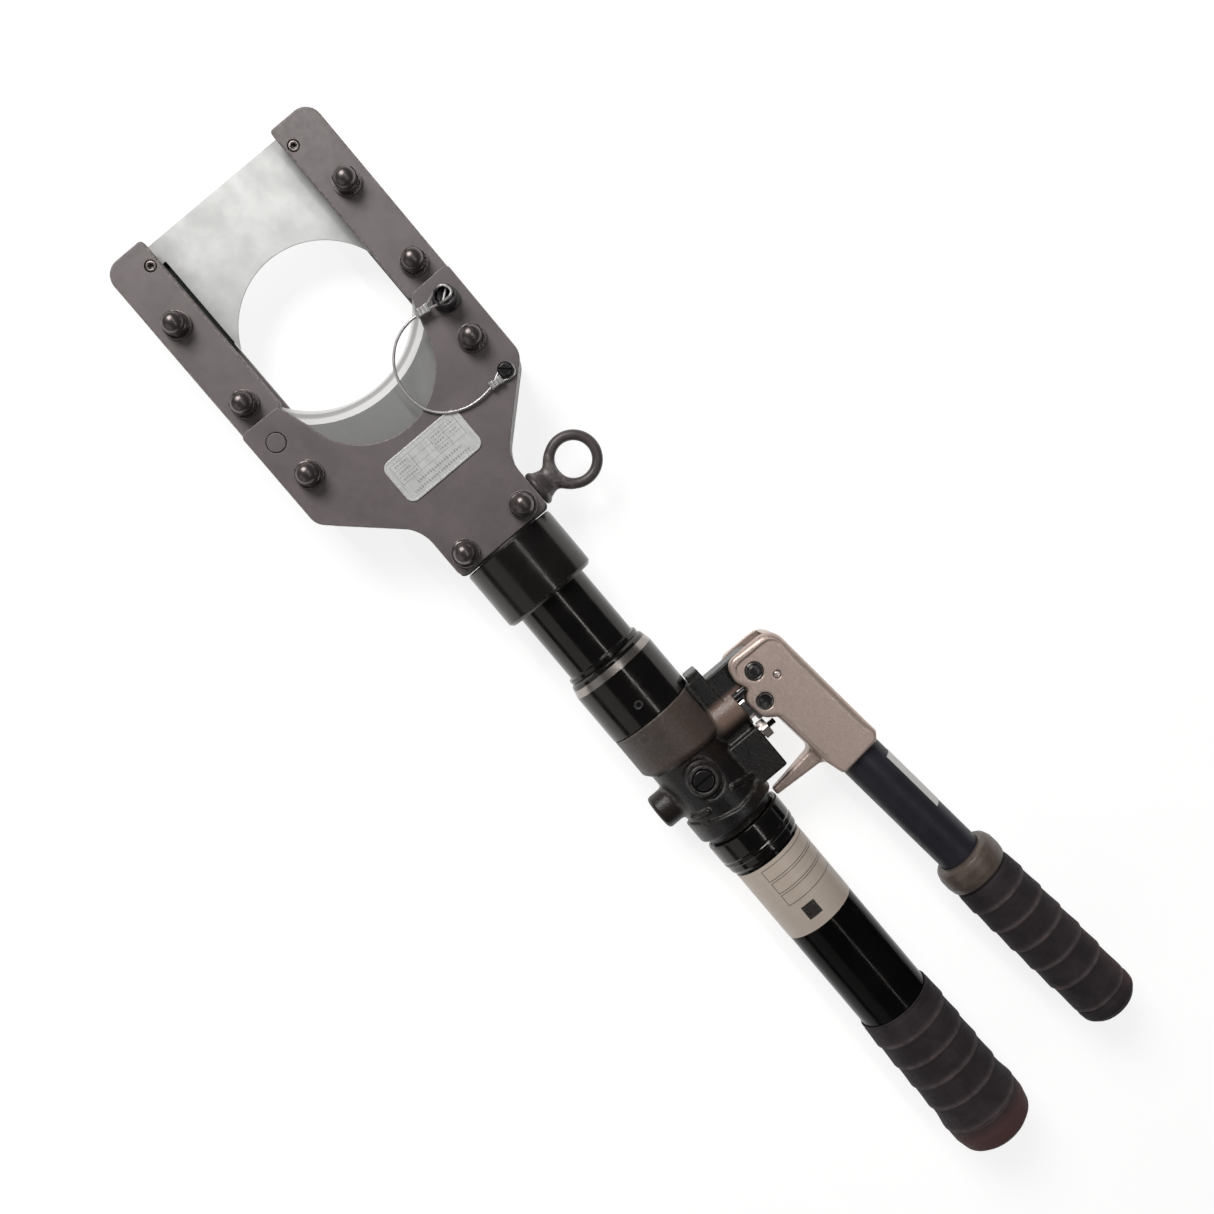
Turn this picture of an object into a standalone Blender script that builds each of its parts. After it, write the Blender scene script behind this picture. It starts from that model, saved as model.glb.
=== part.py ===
"""Hand-operated hydraulic cable cutter: a latched swing-open guillotine head on a swivelling cylinder,
with a lever pump and an oil reservoir in the handle.

Frame: origin at the centre of the handle's flat butt, +X along the tool from the jaw out through the
butt, +Y towards the pump lever, +Z out of the front face of the head.

Dimensions are in millimetres, with X measured from the centre of the jaw opening. The empty `tool`
carries them to the frame, and `add` scales each mesh to metres. Turned profiles are lists of
(radius, place along the axis); outlines are (x, y), or (x, y, fillet radius) where `rounded` takes them.
"""

import math

import bmesh
import bpy
from mathutils import Matrix, Vector

for old in list(bpy.data.objects):
    bpy.data.objects.remove(old, do_unlink=True)
for old in list(bpy.data.meshes):
    bpy.data.meshes.remove(old)

MM = 0.001
SMOOTH_ANGLE = math.radians(32)
SIDES = ((1, "left"), (-1, "right"))  # sign of Y, word used in names

# ---- thicknesses through the head (distances from the mid-plane) ----
BLADE_FACE = 0.2  # half of the running gap between the two blades
BLADE_BACK = 7.9
GRIND_BACK = 8.4  # a grinding cone starts outside the blade's back
GRIND_FACE = 0.8
CHEEK_IN_REAR = 8.2
COVER_IN = 8.4
RAIL_OUT = 14.1
PLATE_IN = 14.4
PLATE_OUT = 20.4
CHEEK_GAP = 0.3

# ---- head outline ----
PIN_X, PIN_Y = 32.9, 57.4  # hinge pin (-Y) and latch pin (+Y)
LUG_R = 12.1
HALF_WIDTH = PIN_Y + LUG_R
TONGUE_R = 11.9
TONGUE_RELIEF_R = 12.3
OPEN_HALF = 43.3  # half of the jaw opening between the rails
GATE_END = -91.5
RAIL_BOLTS = ((-46.3, PIN_Y), (6.5, PIN_Y))
YOKE_BOLTS = ((56.4, 54.8), (139.0, 19.6))
BOLT_HOLE_R = 4.3
HINGE_HOLE_R = 5.1
LATCH_HOLE_R = 5.3
SET_SCREW = (-78.0, 48.2)
ANCHOR = (80.0, 57.5)
ANCHOR_HOLE_R = 2.7
FIXED_EDGE_R = 46.4
FIXED_EDGE_END = -10.0  # x where the fixed cutting edge stops
MOVING_EDGE_R = 54.5
MOVING_EDGE_X = -13.9  # x of the moving edge's centre
MOVING_EDGE_END = 14.0
NECK_HALF = 29.5
NECK_END = 147.8
SPACER_NECK_HALF = 29.4
EYE_X = 136.9

# ---- cylinder and ram ----
BORE_R = 15.0
TUBE_R = 21.25
COLLAR_R = 28.0
ROD_R = 11.0
ROD_START = 118.0
PISTON_R = 14.6
BLADE_PIN_X = 126.0
BLADE_PIN_HOLE_R = 3.9
BORE_CLEARANCE = 0.35

# ---- pump body and handle ----
SLEEVE_R = 25.6
SLEEVE_SCREW = (258.2, -1.8)
BARREL_R = 25.4
BRACKET_HALF = 11.7
PIVOT = (285.8, 56.8)
LINK = (301.7, 51.0)
PLUNGER_X = 299.2
PLUNGER_R = 8.6
NUT_X = 316.3
RELIEF = (311.4, -1.4)
SIDE_X = 314.7
RESERVOIR_R = 21.3
GRIP_R = 23.0
HANDLE_END = 576.0

# ---- pump lever ----
LEVER_ANGLE = 5.79  # degrees between the lever's tube and +X
LEVER_REF = (368.0, 73.26)  # point on the tube's axis from which it is measured
LEVER_TUBE_R = 12.8
LOCK_SCREW = (294.9, 65.2)

# Finish: base colour, roughness, metallic.
PALETTE = {
    "head_paint": ((0.16, 0.135, 0.13), 0.5, 0.1),
    "tool_steel": ((0.45, 0.45, 0.44), 0.35, 1.0),
    "chrome": ((0.75, 0.75, 0.74), 0.12, 1.0),
    "zinc": ((0.6, 0.56, 0.52), 0.35, 1.0),
    "black_steel": ((0.03, 0.03, 0.032), 0.35, 0.8),
    "black_gloss": ((0.02, 0.018, 0.018), 0.25, 0.4),
    "cast_black": ((0.06, 0.052, 0.05), 0.7, 0.1),
    "lever_paint": ((0.55, 0.43, 0.38), 0.45, 0.4),
    "tube_black": ((0.03, 0.03, 0.045), 0.3, 0.3),
    "rubber": ((0.05, 0.045, 0.045), 0.8, 0.0),
    "seal": ((0.02, 0.02, 0.02), 0.6, 0.0),
}


# ---------------------------------------------------------------- objects
def material(name, finish):
    colour, roughness, metallic = PALETTE[finish]
    made = bpy.data.materials.new(name)
    made.use_nodes = True
    shader = made.node_tree.nodes["Principled BSDF"]
    shader.inputs["Base Color"].default_value = (*colour, 1)
    shader.inputs["Roughness"].default_value = roughness
    shader.inputs["Metallic"].default_value = metallic
    return made


def empty(name, at, parent=None):
    node = bpy.data.objects.new(name, None)
    node.location = Vector(at) * MM
    node.empty_display_size = 0.02
    node.parent = parent
    bpy.context.collection.objects.link(node)
    return node


TOOL = empty("tool", (-HANDLE_END, 0, 0))
# The empty that each moving body hangs from, by the body's short name.
JOINTS = {
    "pump": empty("pump_frame", (0, 0, 0), TOOL),
    "head": empty("head_axis", (250, 0, 0), TOOL),
    "gate": empty("gate_axis", (PIN_X, -PIN_Y, 0), TOOL),
    "latch": empty("latch_axis", (PIN_X, PIN_Y, 0), TOOL),
    "ram": empty("ram_axis", (ROD_START, 0, 0), TOOL),
    "lever": empty("lever_axis", (*PIVOT, 0), TOOL),
    "plunger": empty("plunger_axis", (PLUNGER_X, 30, 0), TOOL),
    "release": empty("release_axis", (NUT_X, 40, 0), TOOL),
}


def add(shape, name, finish, body, at=(0, 0, 0)):
    """Makes an object from a bmesh in millimetres about the point `at`, parented to its body's axis."""
    bmesh.ops.remove_doubles(shape, verts=shape.verts, dist=1e-4)
    bmesh.ops.recalc_face_normals(shape, faces=shape.faces)
    if shape.calc_volume(signed=True) < 0:
        bmesh.ops.reverse_faces(shape, faces=shape.faces)
    bmesh.ops.scale(shape, vec=(MM, MM, MM), verts=shape.verts)
    mesh = bpy.data.meshes.new(name)
    shape.to_mesh(mesh)
    shape.free()
    mesh.shade_smooth()
    mesh.set_sharp_from_angle(angle=SMOOTH_ANGLE)
    if finish:
        mesh.materials.append(material(name + "_finish", finish))
    obj = bpy.data.objects.new(name, mesh)
    bpy.context.collection.objects.link(obj)
    obj.parent = JOINTS[body]
    obj.location = Vector(at) * MM - JOINTS[body].location
    return obj


def helper(shape, name, body):
    """A hidden mesh that a Boolean cuts with or joins."""
    obj = add(shape, name, None, body)
    obj.hide_render = True
    obj.display_type = "WIRE"
    return obj


def boolean(obj, kind, *others):
    for other in others:
        modifier = obj.modifiers.new(kind.lower() + "_" + other.name, "BOOLEAN")
        modifier.operation = kind
        modifier.solver = "EXACT"
        modifier.object = other


# ---------------------------------------------------------------- outlines
def arc(centre_x, centre_y, radius, start, end, count):
    """count + 1 points on an arc, angles in degrees."""
    angles = [math.radians(start + (end - start) * i / count) for i in range(count + 1)]
    return [(centre_x + radius * math.cos(a), centre_y + radius * math.sin(a)) for a in angles]


def circle(centre_x, centre_y, radius, count):
    angles = [2 * math.pi * i / count for i in range(count)]
    return [(centre_x + radius * math.cos(a), centre_y + radius * math.sin(a)) for a in angles]


def rectangle(x0, x1, y0, y1):
    return [(x0, y0), (x1, y0), (x1, y1), (x0, y1)]


def rounded(corners, count):
    """A polygon from (x, y, fillet radius) corners, with `count` segments in each fillet."""
    outline = []
    for i, (x, y, radius) in enumerate(corners):
        if radius <= 0:
            outline.append((x, y))
            continue
        here = Vector((x, y))
        before = (Vector(corners[i - 1][:2]) - here).normalized()
        after = (Vector(corners[(i + 1) % len(corners)][:2]) - here).normalized()
        half = math.acos(max(-1, min(1, before.dot(after)))) / 2
        centre = here + (before + after).normalized() * (radius / math.sin(half))
        first = here + before * (radius / math.tan(half)) - centre
        last = here + after * (radius / math.tan(half)) - centre
        sweep = math.atan2(first.x * last.y - first.y * last.x, first.dot(last))
        for k in range(count + 1):
            outline.append(tuple(centre + Matrix.Rotation(sweep * k / count, 2) @ first))
    return outline


def flip(points, sign):
    """The points themselves, or their mirror image across the centreline."""
    return [(x, sign * y, *rest) for x, y, *rest in points]


def mirrored(half):
    """A symmetrical list: one half, then its mirror image in reverse order."""
    return half + flip(half[::-1], -1)


def both_sides(positions):
    return flip(positions, 1) + flip(positions, -1)


def bolt_holes(positions):
    return [circle(x, y, BOLT_HOLE_R, 12) for x, y in positions]


# ---------------------------------------------------------------- solids
# Axis name: its direction, and the direction in which a profile's radius is drawn.
AXES = {
    "X": (Vector((1, 0, 0)), Vector((0, 1, 0))),
    "Y": (Vector((0, 1, 0)), Vector((0, 0, 1))),
    "Z": (Vector((0, 0, 1)), Vector((1, 0, 0))),
}


def turned(profile, axis, steps, at=(0, 0, 0), closed=False):
    """A turned solid. With closed, the profile is a ring that never meets the axis."""
    shape = bmesh.new()
    direction, outward = AXES[axis]
    verts = [shape.verts.new(outward * radius + direction * place) for radius, place in profile]
    edges = [shape.edges.new(pair) for pair in zip(verts, verts[1:])]
    if closed:
        edges.append(shape.edges.new((verts[-1], verts[0])))
    bmesh.ops.spin(shape, geom=verts + edges, cent=(0, 0, 0), axis=direction, dvec=(0, 0, 0),
                   angle=2 * math.pi, steps=steps, use_merge=True, use_duplicate=False)
    bmesh.ops.remove_doubles(shape, verts=shape.verts, dist=1e-4)
    bmesh.ops.dissolve_degenerate(shape, edges=shape.edges, dist=1e-5)
    bmesh.ops.translate(shape, vec=at, verts=shape.verts)
    return shape


def cylinder(radius, start, end, axis, steps, at=(0, 0, 0)):
    return turned([(0, start), (radius, start), (radius, end), (0, end)], axis, steps, at)


def prism(outline, bottom, top, holes=()):
    """A plate from an outline in XY, with holes, between two values of z."""
    shape = bmesh.new()
    edges = []
    for loop in (outline, *holes):
        verts = [shape.verts.new((x, y, bottom)) for x, y in loop]
        edges += [shape.edges.new(pair) for pair in zip(verts, verts[1:] + verts[:1])]
    made = bmesh.ops.triangle_fill(shape, use_beauty=True, use_dissolve=False, edges=edges)
    faces = [item for item in made["geom"] if isinstance(item, bmesh.types.BMFace)]
    raised = bmesh.ops.extrude_face_region(shape, geom=faces, use_keep_orig=True)
    moved = [item for item in raised["geom"] if isinstance(item, bmesh.types.BMVert)]
    bmesh.ops.translate(shape, vec=(0, 0, top - bottom), verts=moved)
    return shape


def side_prism(sign, outline, bottom, top, holes=()):
    """A prism drawn on the +Y side and built on the side that `sign` gives."""
    return prism(flip(outline, sign), bottom, top, [flip(hole, sign) for hole in holes])


def box(low, high):
    """A box between two opposite corners."""
    shape = bmesh.new()
    bmesh.ops.create_cube(shape, size=1)
    size = [b - a for a, b in zip(low, high)]
    centre = [(a + b) / 2 for a, b in zip(low, high)]
    bmesh.ops.scale(shape, vec=size, verts=shape.verts)
    bmesh.ops.translate(shape, vec=centre, verts=shape.verts)
    return shape


def loft(rings):
    """A solid through rings of the same count of points, closed with flat ends."""
    shape = bmesh.new()
    loops = [[shape.verts.new(point) for point in ring] for ring in rings]
    for low, high in zip(loops, loops[1:]):
        for i in range(len(low)):
            j = (i + 1) % len(low)
            shape.faces.new((low[i], low[j], high[j], high[i]))
    shape.faces.new(list(reversed(loops[0])))
    shape.faces.new(loops[-1])
    return shape


def along(points, radius, sides):
    """A round rod through a list of points, none of them passed in the Z direction."""
    rings = []
    for i, point in enumerate(points):
        before = Vector(points[max(i - 1, 0)])
        after = Vector(points[min(i + 1, len(points) - 1)])
        forward = (after - before).normalized()
        across = forward.cross(Vector((0, 0, 1))).normalized()
        up = across.cross(forward).normalized()
        rings.append([tuple(Vector(point) + across * x + up * y)
                      for x, y in circle(0, 0, radius, sides)])
    return loft(rings)


def smooth_path(points, per_span):
    """Points of a Catmull-Rom curve through the given ones."""
    path = []
    last = len(points) - 1
    for i in range(last):
        before, start, end, after = (Vector(points[max(0, min(last, i + k))]) for k in (-1, 0, 1, 2))
        for step in range(per_span):
            t = step / per_span
            path.append(0.5 * (2 * start + (end - before) * t
                               + (2 * before - 5 * start + 4 * end - after) * t * t
                               + (3 * start - before - 3 * end + after) * t ** 3))
    path.append(Vector(points[-1]))
    return path


def coil(start, end, radius, wire_r, turns, axis):
    """A helical spring along X or Y, six points to a turn, of square wire section."""
    points = []
    count = int(turns * 6)
    for i in range(count + 1):
        angle = 2 * math.pi * turns * i / count
        place = start + (end - start) * i / count
        first, second = radius * math.cos(angle), radius * math.sin(angle)
        points.append((place, first, second) if axis == "X" else (first, place, second))
    return along(points, wire_r, 4)


# ---------------------------------------------------------------- bolts and nuts
def hex_loft(stations):
    """A solid along Z through (corner radius, z, six-sided or round) stations."""
    rings = []
    for radius, z, six_sided in stations:
        ring = []
        for i in range(12):
            angle = 2 * math.pi * i / 12
            reach = radius
            if six_sided:
                reach *= math.cos(math.pi / 6) / math.cos((angle % (math.pi / 3)) - math.pi / 6)
            ring.append((reach * math.cos(angle), reach * math.sin(angle), z))
        rings.append(ring)
    return loft(rings)


def hex_bolt(under_head, length):
    """A bolt along Z: a six-sided head below z = under_head, a shank above it."""
    return hex_loft([(6.9, under_head - 5.4, True), (7.5, under_head - 4.9, True),
                     (7.5, under_head, True), (3.9, under_head, False),
                     (3.9, under_head + length, False)])


def cap_nut():
    """A domed nut on its washer, with a blind thread below; its foot is at z = 0."""
    return hex_loft([(4.2, 9.6, False), (4.2, 0.0, False), (7.6, 0.0, False), (7.6, 1.9, False),
                     (7.3, 1.9, True), (7.3, 7.6, True), (5.7, 7.6, False), (5.6, 10.2, False),
                     (4.4, 12.4, False), (2.0, 13.9, False)])


def fasteners(positions, half_thickness, body, prefix):
    seat = half_thickness + 0.3
    for number, (x, y) in enumerate(both_sides(positions), 1):
        add(hex_bolt(-seat, 2 * half_thickness + 8.0), f"{prefix}_bolt_{number}", "black_steel",
            body, (x, y, 0))
        add(cap_nut(), f"{prefix}_cap_nut_{number}", "black_steel", body, (x, y, seat))


# ---------------------------------------------------------------- swing-open gate
def rail_outline():
    """Cheek of a guide rail: a straight bar with a round lug about its pin."""
    bar = rounded([(GATE_END, HALF_WIDTH, 9.5), (GATE_END, OPEN_HALF, 2.0), (17.0, OPEN_HALF, 0),
                   (19.5, PIN_Y - LUG_R, 0), (PIN_X, HALF_WIDTH, 0)], 4)
    # The last corner only sets the direction of the outer edge; the lug takes its place.
    return bar[:-1] + arc(PIN_X, PIN_Y, LUG_R, -90, 90, 10)


def rail_holes():
    return bolt_holes(RAIL_BOLTS) + [circle(PIN_X, PIN_Y, LATCH_HOLE_R, 14)]


def guide_rail(sign, name):
    rail = add(side_prism(sign, rail_outline(), -RAIL_OUT, COVER_IN - CHEEK_GAP, rail_holes()),
               name, "head_paint", "gate")
    blade_groove = rectangle(-110, 70, 30, 50.3)
    tongue_relief = (arc(PIN_X, PIN_Y, TONGUE_RELIEF_R, 270, 90, 12)
                     + [(70, PIN_Y + TONGUE_RELIEF_R), (70, PIN_Y - TONGUE_RELIEF_R)])
    wing_pocket = rectangle(-110, -53.7, 40, 56.3)
    cutters = (("_groove", blade_groove, 20), ("_relief", tongue_relief, 20),
               ("_pocket", wing_pocket, 0.1))
    for suffix, outline, top in cutters:
        cutter = helper(side_prism(sign, outline, -CHEEK_IN_REAR, top), name + suffix, "gate")
        boolean(rail, "DIFFERENCE", cutter)


def rail_cover(sign, name):
    holes = rail_holes() + [circle(*SET_SCREW, 3.3, 10)]
    add(side_prism(sign, rail_outline(), COVER_IN, RAIL_OUT, holes), name, "head_paint", "gate")


def fixed_blade():
    """Wide at its clamped end, with a round cutting edge ground on its rear face."""
    half = [(FIXED_EDGE_END, -50, 0), (-53.9, -50, 0), (-53.9, -56, 0), (GATE_END, -56, 3)]
    edge_angle = math.degrees(math.acos(FIXED_EDGE_END / FIXED_EDGE_R))
    outline = rounded(mirrored(half), 3)
    outline += arc(0, 0, FIXED_EDGE_R, edge_angle, 360 - edge_angle, 28)
    blade = add(prism(outline, -BLADE_BACK, -BLADE_FACE), "fixed_blade", "tool_steel", "gate")
    cone = turned([(0, -GRIND_BACK), (FIXED_EDGE_R + 7.4, -GRIND_BACK),
                   (FIXED_EDGE_R - 0.4, -GRIND_FACE), (0, -GRIND_FACE)], "Z", 64)
    boolean(blade, "DIFFERENCE", helper(cone, "fixed_blade_grind", "gate"))


def blade_set_screw(sign, name):
    screw = turned([(0, 0.1), (1.7, 0.1), (1.7, 8.5), (2.9, 8.5), (2.9, 13.7), (1.6, 13.7),
                    (1.6, 11.0), (0, 11.0)], "Z", 14)
    add(screw, name, "black_steel", "gate", (SET_SCREW[0], sign * SET_SCREW[1], 0))


def build_gate():
    for sign, word in SIDES:
        guide_rail(sign, "guide_rail_" + word)
        rail_cover(sign, "rail_cover_" + word)
        blade_set_screw(sign, "blade_set_screw_" + word)
    fixed_blade()
    fasteners(RAIL_BOLTS, RAIL_OUT, "gate", "gate")


# ---------------------------------------------------------------- yoke (head frame)
def yoke_plates():
    # From the mouth's end round the outside to the neck, on the +Y side.
    half = [(35.6, 39.3, 0), (19.2, 45.0, 2.5), (18.6, HALF_WIDTH, 6.0), (78.0, HALF_WIDTH, 10.5),
            (115.0, NECK_HALF, 22.0), (NECK_END, NECK_HALF, 4.3)]
    mouth = arc(30.57, 0, 39.6, -80, 80, 20)
    outline = rounded(mirrored(half), 5) + mouth
    holes = bolt_holes(both_sides(YOKE_BOLTS))
    holes += [circle(PIN_X, -PIN_Y, HINGE_HOLE_R, 14), circle(PIN_X, PIN_Y, LATCH_HOLE_R, 14)]
    anchor_hole = circle(*ANCHOR, ANCHOR_HOLE_R, 12)
    add(prism(outline, PLATE_IN, PLATE_OUT, holes + [anchor_hole]), "yoke_plate_front",
        "head_paint", "head")
    add(prism(outline, -PLATE_OUT, -PLATE_IN, holes), "yoke_plate_rear", "head_paint", "head")


def yoke_spacer(sign, name):
    """A round-ended tongue between the rail's cheeks, and behind it a filling of the plates' gap."""
    outer_y = PIN_Y + TONGUE_R
    outline = rounded([(PIN_X, outer_y, 0), (78.0, outer_y, 10.5), (115.0, SPACER_NECK_HALF, 22.0),
                       (124.5, SPACER_NECK_HALF, 0), (124.5, 17.5, 0), (110, 17.5, 0),
                       (104.5, 23.5, 0), (81.0, 50.1, 0)], 4)
    bolt_hole = circle(*YOKE_BOLTS[0], 4.2, 12)
    if sign > 0:
        outline += arc(PIN_X, PIN_Y, TONGUE_R, 217.7, 90, 10)[:-1]
        holes = [circle(PIN_X, PIN_Y, LATCH_HOLE_R, 14), bolt_hole,
                 circle(*ANCHOR, ANCHOR_HOLE_R, 12)]
    else:
        # The hinge side is set back, so that the rail's square outer edge has room to swing round.
        outline = ([(45.6, PIN_Y), (45.6, outer_y)] + outline[1:]
                   + arc(PIN_X, PIN_Y, TONGUE_R, 217.7, 0, 14))
        holes = [circle(PIN_X, PIN_Y, HINGE_HOLE_R, 14), bolt_hole]
    spacer = add(side_prism(sign, outline, -RAIL_OUT, RAIL_OUT, holes), name, "head_paint", "head")
    steps = (("_front_step", COVER_IN - CHEEK_GAP, 30), ("_rear_step", -30, -CHEEK_IN_REAR + CHEEK_GAP))
    for suffix, bottom, top in steps:
        cutter = side_prism(sign, rectangle(0, 48.2, 40, 80), bottom, top)
        boolean(spacer, "DIFFERENCE", helper(cutter, name + suffix, "head"))


def yoke_block():
    """Block between the plates at the neck, with a round spigot for the cylinder."""
    outline = rectangle(124.8, 148.3, -SPACER_NECK_HALF, SPACER_NECK_HALF)
    holes = bolt_holes(both_sides(YOKE_BOLTS[1:]))
    block = add(prism(outline, -RAIL_OUT, RAIL_OUT, holes), "yoke_block", "head_paint", "head")
    spigot = cylinder(19.7, 148.1, 160.0, "X", 32)
    bore = cylinder(ROD_R + BORE_CLEARANCE, 120, 165, "X", 24)
    tap = cylinder(4.35, 23.8, 35, "Y", 16, (EYE_X, 0, 0))
    boolean(block, "UNION", helper(spigot, "yoke_block_spigot", "head"))
    boolean(block, "DIFFERENCE", helper(bore, "yoke_block_bore", "head"),
            helper(tap, "yoke_block_tap", "head"))


def gate_pins():
    add(cylinder(4.7, -20.2, 19.9, "Z", 20), "gate_hinge_pin", "black_steel", "head",
        (PIN_X, -PIN_Y, 0))
    # The latch pin has a flanged, hollow head that stands proud of the front plate.
    latch = turned([(0, -20.0), (3.6, -20.0), (4.9, -18.6), (4.9, 20.8), (7.2, 20.8), (7.2, 24.0),
                    (6.4, 25.2), (5.6, 26.4), (5.6, 34.0), (3.4, 34.0), (3.4, 28.0), (0, 28.0)],
                   "Z", 16)
    add(latch, "latch_pin", "black_steel", "latch", (PIN_X, PIN_Y, 0))


def lanyard():
    """Steel wire that ties the latch pin to the anchor screw."""
    screw = turned([(0, 10.0), (2.4, 10.0), (2.4, 20.7), (4.2, 20.7), (4.2, 23.6), (3.2, 24.4),
                    (1.5, 24.4), (1.5, 22.2), (0, 22.2)], "Z", 14)
    add(screw, "lanyard_anchor_screw", "black_steel", "head", (*ANCHOR, 0))
    # Points (x, y, z) from the latch pin to the anchor.
    wire = [(32.5, 48.2, 29.5), (30.5, 40.5, 24.5), (30.6, 31.0, 23.5), (35.3, 21.0, 22.6),
            (42.5, 14.4, 22.2), (51.2, 11.0, 22.2), (60.0, 10.4, 22.2), (69.0, 12.6, 22.2),
            (76.4, 19.3, 22.2), (81.3, 28.7, 22.2), (82.9, 39.0, 22.4), (82.0, 46.5, 22.8),
            (80.6, 52.0, 23.2)]
    add(along(smooth_path(wire, 2), 1.15, 6), "lanyard_wire", "tool_steel", "head")


def lifting_eye():
    # Eight of ten points on the ring's round section; a chord on its inner side closes it.
    section = circle(13.0, 0, 2.9, 10)[:8]
    eye = add(turned(section, "Z", 24, closed=True), "eye_bolt", "black_steel", "head",
              (EYE_X, 56.1, 0))
    stem = turned([(0, 24.2), (3.9, 24.2), (3.9, 29.8), (10.0, 29.8), (10.0, 33.4), (6.6, 36.0),
                   (4.6, 40.0), (4.2, 43.6), (0, 43.6)], "Y", 16, (EYE_X, 0, 0))
    boolean(eye, "UNION", helper(stem, "eye_bolt_stem", "head"))


def build_yoke():
    yoke_plates()
    for sign, word in SIDES:
        yoke_spacer(sign, "yoke_spacer_" + word)
    yoke_block()
    fasteners(YOKE_BOLTS, PLATE_OUT, "head", "yoke")
    gate_pins()
    lanyard()
    lifting_eye()


# ---------------------------------------------------------------- cylinder, ram and moving blade
def cylinder_parts():
    inner_r = TUBE_R + BORE_CLEARANCE
    collar = [(COLLAR_R - 2.5, 149.2), (COLLAR_R - 0.7, 149.9), (COLLAR_R, 151.7),
              (COLLAR_R, 182.5), (COLLAR_R - 0.7, 184.5), (COLLAR_R - 2.5, 185.2),
              (inner_r, 185.2), (inner_r, 160.4), (20.1, 160.4), (20.1, 149.2)]
    add(turned(collar, "X", 24, closed=True), "cylinder_collar", "black_gloss", "head")
    tube = [(TUBE_R, 160.8), (TUBE_R, 226.8), (22.9, 227.4), (22.9, 229.8), (18.6, 229.8),
            (18.6, 240.0), (21.2, 240.0), (21.2, 245.5), (18.6, 245.5), (18.6, 274.0),
            (1.8, 274.0), (1.8, 269.0), (BORE_R, 269.0), (BORE_R, 160.8)]
    add(turned(tube, "X", 24, closed=True), "cylinder_tube", "black_gloss", "head")
    add(coil(144, 262, radius=3.6, wire_r=0.9, turns=9, axis="X"), "ram_return_spring",
        "tool_steel", "head")


def ram():
    """Rod and grooved piston in one, hollow from the piston end, slotted for the moving blade."""
    profile = [(0, ROD_START), (ROD_R - 0.8, ROD_START), (ROD_R, ROD_START + 1), (ROD_R, 254.0),
               (PISTON_R, 254.0), (PISTON_R, 258.0), (12.4, 258.0), (12.4, 262.2),
               (PISTON_R, 262.2), (PISTON_R, 266.0), (5.6, 266.0), (5.6, 140.0), (0, 140.0)]
    rod = add(turned(profile, "X", 20), "ram", "chrome", "ram")
    pin_hole = cylinder(BLADE_PIN_HOLE_R, -15, 15, "Z", 16, (BLADE_PIN_X, 0, 0))
    boolean(rod, "DIFFERENCE", helper(box((110, -20, -0.1), (135.5, 20, 8.2)), "ram_slot", "ram"),
            helper(pin_hole, "ram_pin_hole", "ram"))
    seal = [(12.75, 258.5), (PISTON_R, 258.5), (PISTON_R, 261.7), (12.75, 261.7)]
    add(turned(seal, "X", 20, closed=True), "ram_seal", "seal", "ram")
    add(cylinder(3.5, -9.4, 9.6, "Z", 16), "blade_pin", "black_steel", "ram", (BLADE_PIN_X, 0, 0))


def moving_blade():
    """A tapering blade with a hollow round cutting edge, ground on its front face."""
    half = [(MOVING_EDGE_END, -49.7, 0), (78.0, -49.7, 3), (100.0, -24.5, 3), (107.0, -7.6, 3),
            (133.5, -7.6, 4)]
    edge_angle = math.degrees(math.acos((MOVING_EDGE_END - MOVING_EDGE_X) / MOVING_EDGE_R))
    outline = rounded(mirrored(half), 3)
    outline += arc(MOVING_EDGE_X, 0, MOVING_EDGE_R, edge_angle, -edge_angle, 28)
    pin_hole = circle(BLADE_PIN_X, 0, BLADE_PIN_HOLE_R, 16)
    blade = add(prism(outline, BLADE_FACE, BLADE_BACK, [pin_hole]), "moving_blade", "tool_steel",
                "ram")
    cone = turned([(0, GRIND_BACK), (MOVING_EDGE_R + 8.9, GRIND_BACK),
                   (MOVING_EDGE_R + 0.3, GRIND_FACE), (0, GRIND_FACE)],
                  "Z", 64, (MOVING_EDGE_X - 0.6, 0, 0))
    boolean(blade, "DIFFERENCE", helper(cone, "moving_blade_grind", "ram"))


# ---------------------------------------------------------------- pump body
def swivel_sleeve():
    profile = [(22.9, 230.2), (24.4, 231.6), (25.3, 234.4), (SLEEVE_R, 236.4), (SLEEVE_R, 268.3),
               (21.7, 268.3), (21.7, 239.7), (19.0, 239.7), (19.0, 230.2)]
    sleeve = add(turned(profile, "X", 24, closed=True), "swivel_sleeve", "black_gloss", "pump")
    hole = cylinder(2.9, 15, 30, "Z", 12, (*SLEEVE_SCREW, 0))
    boolean(sleeve, "DIFFERENCE", helper(hole, "swivel_sleeve_hole", "pump"))
    screw = turned([(0, 21.9), (2.6, 21.9), (2.6, 25.2), (1.4, 25.2), (1.4, 23.6), (0, 23.6)],
                   "Z", 12)
    add(screw, "sleeve_set_screw", "black_steel", "pump", (*SLEEVE_SCREW, 0))


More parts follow.
